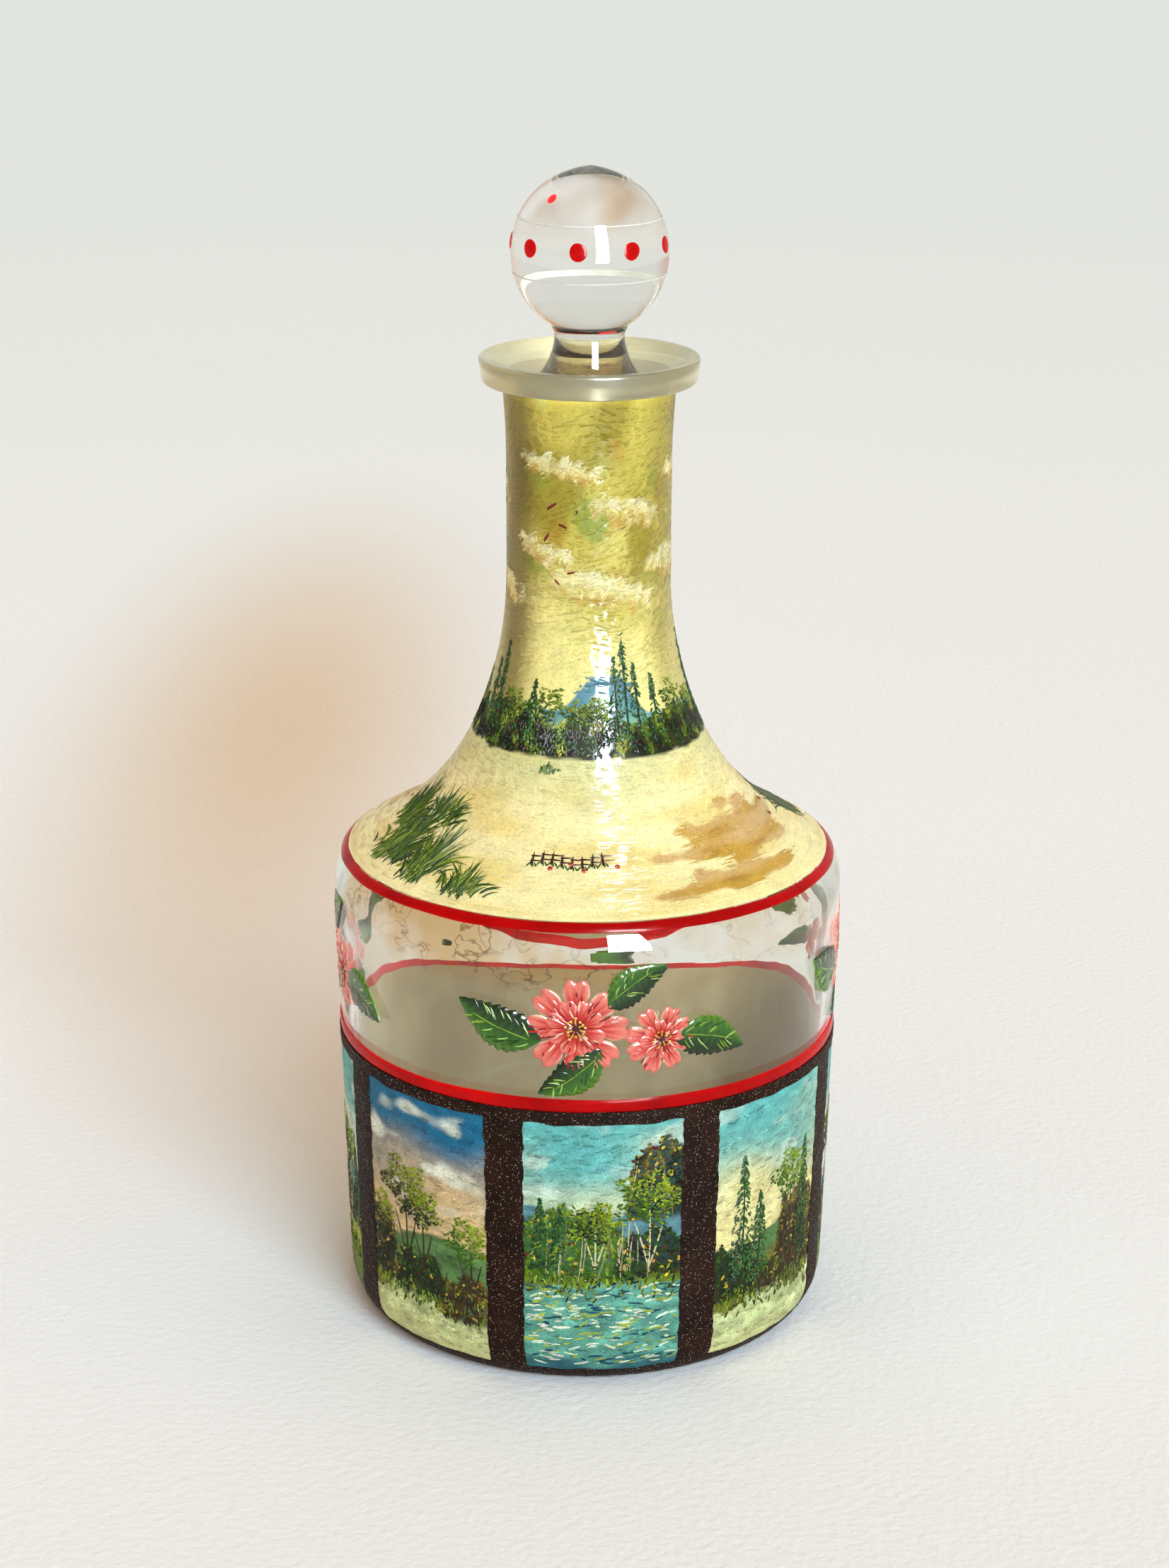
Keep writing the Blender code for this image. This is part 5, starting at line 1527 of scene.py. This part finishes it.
def stopper_finish():
    """Clear glass with a ground, satin shank, painted olive-brown shade on the stem and a painted brown
    reflection in the ball's crown.
    """
    material, shader = new_material("clear stopper glass")
    where = place_of(material)
    height = add(material, "ShaderNodeSeparateXYZ", {"Vector": where}).node.outputs["Z"]
    ground = spread(material, height, mouth + SHANK_CHAMFER, mouth - SHANK_CHAMFER)
    rough = spread(material, noise(material, where, 1200.0), 0.3, 0.7, 0.20, 0.34)
    rough = combine(material, "MULTIPLY", ground, rough)
    link(material, combine(material, "ADD", rough, 0.008), shader, "Roughness")
    # Painted shade: the stem's glass is tinted olive-brown
    stem = spread(material, height, lip_top + STEM_HEIGHT + 0.001, lip_top)
    # Painted reflection: a smoky brown veil tinted into the ball's crown
    crown = spread(material, height, lip_top + BALL_RISE + 0.004, lip_top + BALL_RISE + 0.013)
    painted_reflection = spread(material, noise(material, where, 60.0, 1.0), 0.44, 0.60, 0.15, 1.0)
    painted_reflection = combine(material, "MULTIPLY", crown, painted_reflection)
    clear = blend(material, painted_reflection, (0.97, 0.97, 0.945), (0.55, 0.46, 0.34))
    link(material, blend(material, stem, clear, (0.54, 0.49, 0.34)), shader, "Base Color")
    shader.inputs["Transmission Weight"].default_value = 1
    shader.inputs["IOR"].default_value = 1.5
    let_light_through(material, shader)
    bump(material, shader, noise(material, where, 45.0, 2.0), 0.0004, 0.2)
    return material


stopper = turned("ball_stopper", stopper_line(), STOPPER_SIDE_COUNT)
stopper.data.materials.append(stopper_finish())
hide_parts("stopper_glass")
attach(stopper, "stopper")


# The dots and lines on the ball. Nine spots of red enamel round it, each let fall from a round brush so that
# it stands as a low dome, between two hair lines of white drawn while the stopper was turned. The lines'
# underside, seen through the ball, is painted grey as shade.
DOT_COUNT = 9
DOT_RADIUS = 0.00205
DOT_RISE = 0.0026
DOT_TURN = -8.5
DOT_HEIGHT = 0.00030
DOT_SIDE_COUNT = 40
DOT_RING_COUNT = 6
LINE_RISES = {"stopper_line_upper": 0.0082, "stopper_line_lower": -0.0047}
LINE_WIDTH = 0.00040
LINE_HEIGHT = 0.00016
LINE_WANDER = 0.00006
LINE_COLUMN_COUNT = 240
LINE_ROW_COUNT = 8
LINE_SMOOTH_ANGLE = 60
ball_middle = lip_top + BALL_RISE


def on_ball(angle, rise, off):
    """The point on the ball at an angle from the front and a rise over its middle, off the glass."""
    tilt = np.arcsin(rise / BALL_HALF_HEIGHT)
    radius = BALL_RADIUS * np.cos(tilt) + off * np.cos(tilt)
    way = np.radians(angle)
    height = ball_middle + rise + off * np.sin(tilt) * np.ones_like(way)
    return np.stack(np.broadcast_arrays(radius * np.sin(way), -radius * np.cos(way), height), axis=-1)


def turn_faces_out(smooth_angle):
    """Turns the faces of the piece at hand outwards and shades it smooth but for its sharp edges."""
    bpy.ops.object.mode_set(mode="EDIT")
    bpy.ops.mesh.select_all(action="SELECT")
    bpy.ops.mesh.normals_make_consistent(inside=False)
    bpy.ops.object.mode_set(mode="OBJECT")
    bpy.ops.object.shade_smooth_by_angle(angle=radians(smooth_angle))


def enamel_dot(name, angle):
    """A low dome: a disc is inset ring by ring, then bent on to the ball and raised."""
    disc = {"vertices": DOT_SIDE_COUNT, "radius": 1, "fill_type": "NGON"}
    piece = start_piece(name, bpy.ops.mesh.primitive_circle_add, **disc)
    bpy.ops.object.mode_set(mode="EDIT")
    bpy.ops.mesh.select_all(action="SELECT")
    for _ in range(DOT_RING_COUNT):
        bpy.ops.mesh.inset(thickness=0.9 / DOT_RING_COUNT)
    bpy.ops.mesh.poke()
    bpy.ops.object.mode_set(mode="OBJECT")
    thicken(piece, 0.1)
    points = points_of(piece)
    back = points[:, 2] < -0.05
    reach = np.hypot(points[:, 0], points[:, 1])
    way = np.arctan2(points[:, 1], points[:, 0])
    wobble = 1 + 0.03 * np.sin(2 * way + angle) + 0.02 * np.sin(3 * way + 2 * angle)
    swell = DOT_HEIGHT * (0.25 + 0.75 * np.sqrt(np.clip(1 - reach**2, 0, 1)))
    off = np.where(back, -STROKE_SINK, swell)
    side, up = points[:, 0] * DOT_RADIUS * wobble, points[:, 1] * DOT_RADIUS * wobble
    rise = DOT_RISE + up
    at = angle + np.degrees(side / (BALL_RADIUS * np.cos(np.arcsin(rise / BALL_HALF_HEIGHT))))
    move_points(piece, on_ball(at, rise, off))
    turn_faces_out(SHEET_SMOOTH_ANGLE)
    return piece


dot_enamel = enamel_finish("red dot enamel", tint(176, 6, 8), tint(204, 14, 16), 300.0)
for number in range(DOT_COUNT):
    dot = enamel_dot(f"red_dot_{number + 1}", DOT_TURN + 360 * number / DOT_COUNT)
    dot.data.materials.append(dot_enamel)
    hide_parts(f"stopper_dot_{number + 1}")
    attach(dot, "stopper")

LINE_WHITE, LINE_PAINTED_SHADE = tint(240, 237, 228), tint(112, 109, 97)
line_enamel = oil_paint("white line enamel", 0.05, 0.4)
hoop = {"major_segments": LINE_COLUMN_COUNT, "minor_segments": LINE_ROW_COUNT, "major_radius": 1}
around = np.repeat(np.arange(LINE_COLUMN_COUNT) * 360 / LINE_COLUMN_COUNT, LINE_ROW_COUNT)
section = np.tile(np.arange(LINE_ROW_COUNT) * 2 * pi / LINE_ROW_COUNT, LINE_COLUMN_COUNT)
swell = np.cos(section)
off = LINE_HEIGHT * swell * (swell > 0) - STROKE_SINK * (swell <= 0)
for name, rise in LINE_RISES.items():
    line = start_piece("white_" + name, bpy.ops.mesh.primitive_torus_add, minor_radius=0.2, **hoop)
    width = LINE_WIDTH / 2 * (1 + 0.25 * ripple(around, 0, 0.02, 91 + len(name)))
    wander = LINE_WANDER * ripple(around, 0, 0.03, 95 + len(name))
    move_points(line, on_ball(around, rise + wander + width * np.sin(section), off))
    turn_faces_out(LINE_SMOOTH_ANGLE)
    # Painted shade: each line's underside, seen through the ball, is coloured grey
    colour_points(line, np.where(swell[:, None] > 0.3, LINE_WHITE, LINE_PAINTED_SHADE))
    line.data.materials.append(line_enamel)
    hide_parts(name)
    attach(line, "stopper")


# The table, the light and the camera. A pale, finely grained cloth lies under the bottle and far out all
# round, with a warm brown shadow painted on it in one patch behind it to the left. Cool daylight comes from
# the right of the camera, and the room is warm, dimmer to the left, with a pale wall behind.
CLOTH_RADIUS = 14.0
CLOTH_SIDE_COUNT = 96
SHADOW_PATCH_PLACE = (-0.118, 0.47)
SHADOW_PATCH_REACH = 0.50
SHADOW_PATCH_NARROWNESS = 4

disc = {"vertices": CLOTH_SIDE_COUNT, "radius": CLOTH_RADIUS, "fill_type": "NGON"}
cloth = start_piece("pale_cloth", bpy.ops.mesh.primitive_circle_add, **disc)
bpy.ops.object.mode_set(mode="EDIT")
bpy.ops.mesh.poke()
bpy.ops.object.mode_set(mode="OBJECT")
material, shader = new_material("pale cloth")
where = place_of(material)
shade = blend(material, noise(material, where, 3.0, 3.0), tint(246, 242, 238), tint(252, 248, 244))
away = add(material, "ShaderNodeVectorMath", {0: where}, operation="LENGTH").node.outputs["Value"]
shade = blend(material, spread(material, away, 0.4, 1.8), shade, tint(236, 239, 234))
# Painted shadow: a warm brown patch on the cloth behind the bottle to the left
patch = add(material, "ShaderNodeMapping", {
    "Vector": where, "Location": (-SHADOW_PATCH_NARROWNESS * SHADOW_PATCH_PLACE[0], -SHADOW_PATCH_PLACE[1], 0),
    "Scale": (SHADOW_PATCH_NARROWNESS, 1, 1),
})
patch = add(material, "ShaderNodeVectorMath", {0: patch}, operation="LENGTH").node.outputs["Value"]
patch = add(
    material, "ShaderNodeMapRange",
    {"Value": patch, "From Min": SHADOW_PATCH_REACH, "From Max": 0.0, "To Max": 0.9},
    interpolation_type="SMOOTHSTEP",
)
shade = blend(material, patch, shade, tint(228, 200, 168))
link(material, shade, shader, "Base Color")
shader.inputs["Roughness"].default_value = 1.0
shader.inputs["Specular IOR Level"].default_value = 0.0
bump(material, shader, noise(material, where, 420.0, 3.0), 0.0008, 0.5)
cloth.data.materials.append(material)

world = bpy.data.worlds.new("warm room")
bpy.context.scene.world = world
world.use_nodes = True
background = world.node_tree.nodes["Background"]
direction = world.node_tree.nodes.new("ShaderNodeTexCoord").outputs["Generated"]
sides = add(world, "ShaderNodeSeparateXYZ", {"Vector": direction})
room = blend(world, spread(world, sides, -0.7, 0.7), (0.50, 0.35, 0.23), (0.78, 0.62, 0.46))
behind = spread(world, sides.node.outputs["Y"], 0.2, 0.7)
link(world, blend(world, behind, room, (0.72, 0.73, 0.69)), background, "Color")
background.inputs["Strength"].default_value = 0.98


def direction_of(turn, rise):
    """The rotation of a lamp that shines from a turn to the right of the camera and a rise, in degrees."""
    turn, rise = radians(turn), radians(rise)
    toward = Vector((-sin(turn) * cos(rise), cos(turn) * cos(rise), -sin(rise)))
    return toward.to_track_quat("-Z", "Y").to_euler()


# The daylight on the cloth and the paint; its shine and what shows of it through glass are the window's
DAYLIGHT_STRENGTH, DAYLIGHT_SPREAD = 2.75, radians(30)
DAYLIGHT_TURN, DAYLIGHT_RISE = 22, 34
daylight = bpy.data.lights.new("daylight", "SUN")
daylight.energy, daylight.angle, daylight.color = DAYLIGHT_STRENGTH, DAYLIGHT_SPREAD, (0.54, 0.78, 0.98)
holder = bpy.data.objects.new("daylight", daylight)
holder.rotation_euler = direction_of(DAYLIGHT_TURN, DAYLIGHT_RISE)
holder.visible_glossy = False
holder.visible_transmission = False
bpy.context.scene.collection.objects.link(holder)

# The window is two lamps in one place: a bright one that shows only as the shine on glass, varnish and
# enamel, and a soft one that shows only through the glass
WINDOW_TURN, WINDOW_AWAY, WINDOW_MIDDLE = 18, 1.6, 0.84
WINDOW_WIDTH, WINDOW_HEIGHT = 0.54, 1.60
WINDOW_POWERS = {"window_shine": 230.0, "window_through_glass": 2.1}
for name, energy in WINDOW_POWERS.items():
    window = bpy.data.lights.new(name, "AREA")
    window.shape, window.size, window.size_y = "RECTANGLE", WINDOW_WIDTH, WINDOW_HEIGHT
    window.energy, window.color = energy, (0.84, 0.94, 1.0)
    holder = bpy.data.objects.new(name, window)
    holder.rotation_euler = direction_of(WINDOW_TURN, 0)
    east, south = WINDOW_AWAY * sin(radians(WINDOW_TURN)), -WINDOW_AWAY * cos(radians(WINDOW_TURN))
    holder.location = (east, south, WINDOW_MIDDLE)
    holder.visible_camera = False
    holder.visible_diffuse = False
    holder.visible_glossy = name == "window_shine"
    holder.visible_transmission = name == "window_through_glass"
    bpy.context.scene.collection.objects.link(holder)

CAMERA_PLACE = (0.0, -0.7813, 0.3892)
CAMERA_PITCH, CAMERA_YAW, CAMERA_ROLL = radians(18.181), radians(-0.058), radians(0.217)
CAMERA_LENS, CAMERA_SENSOR_WIDTH, CAMERA_CLIP_START = 77.58, 36, 0.01
ahead = cos(CAMERA_PITCH)
forward = Vector((sin(CAMERA_YAW) * ahead, cos(CAMERA_YAW) * ahead, -sin(CAMERA_PITCH)))
right = forward.cross(Vector((0, 0, 1))).normalized()
above = right.cross(forward)
rolled = cos(CAMERA_ROLL) * right + sin(CAMERA_ROLL) * above
upright = cos(CAMERA_ROLL) * above - sin(CAMERA_ROLL) * right
camera = bpy.data.objects.new("camera", bpy.data.cameras.new("camera"))
camera.data.sensor_width = CAMERA_SENSOR_WIDTH
camera.data.lens = CAMERA_LENS
camera.data.clip_start = CAMERA_CLIP_START
camera.matrix_world = Matrix((rolled, upright, -forward)).transposed().to_4x4()
camera.location = CAMERA_PLACE
bpy.context.scene.collection.objects.link(camera)
bpy.context.scene.camera = camera
bpy.context.scene.view_settings.view_transform = "Standard"
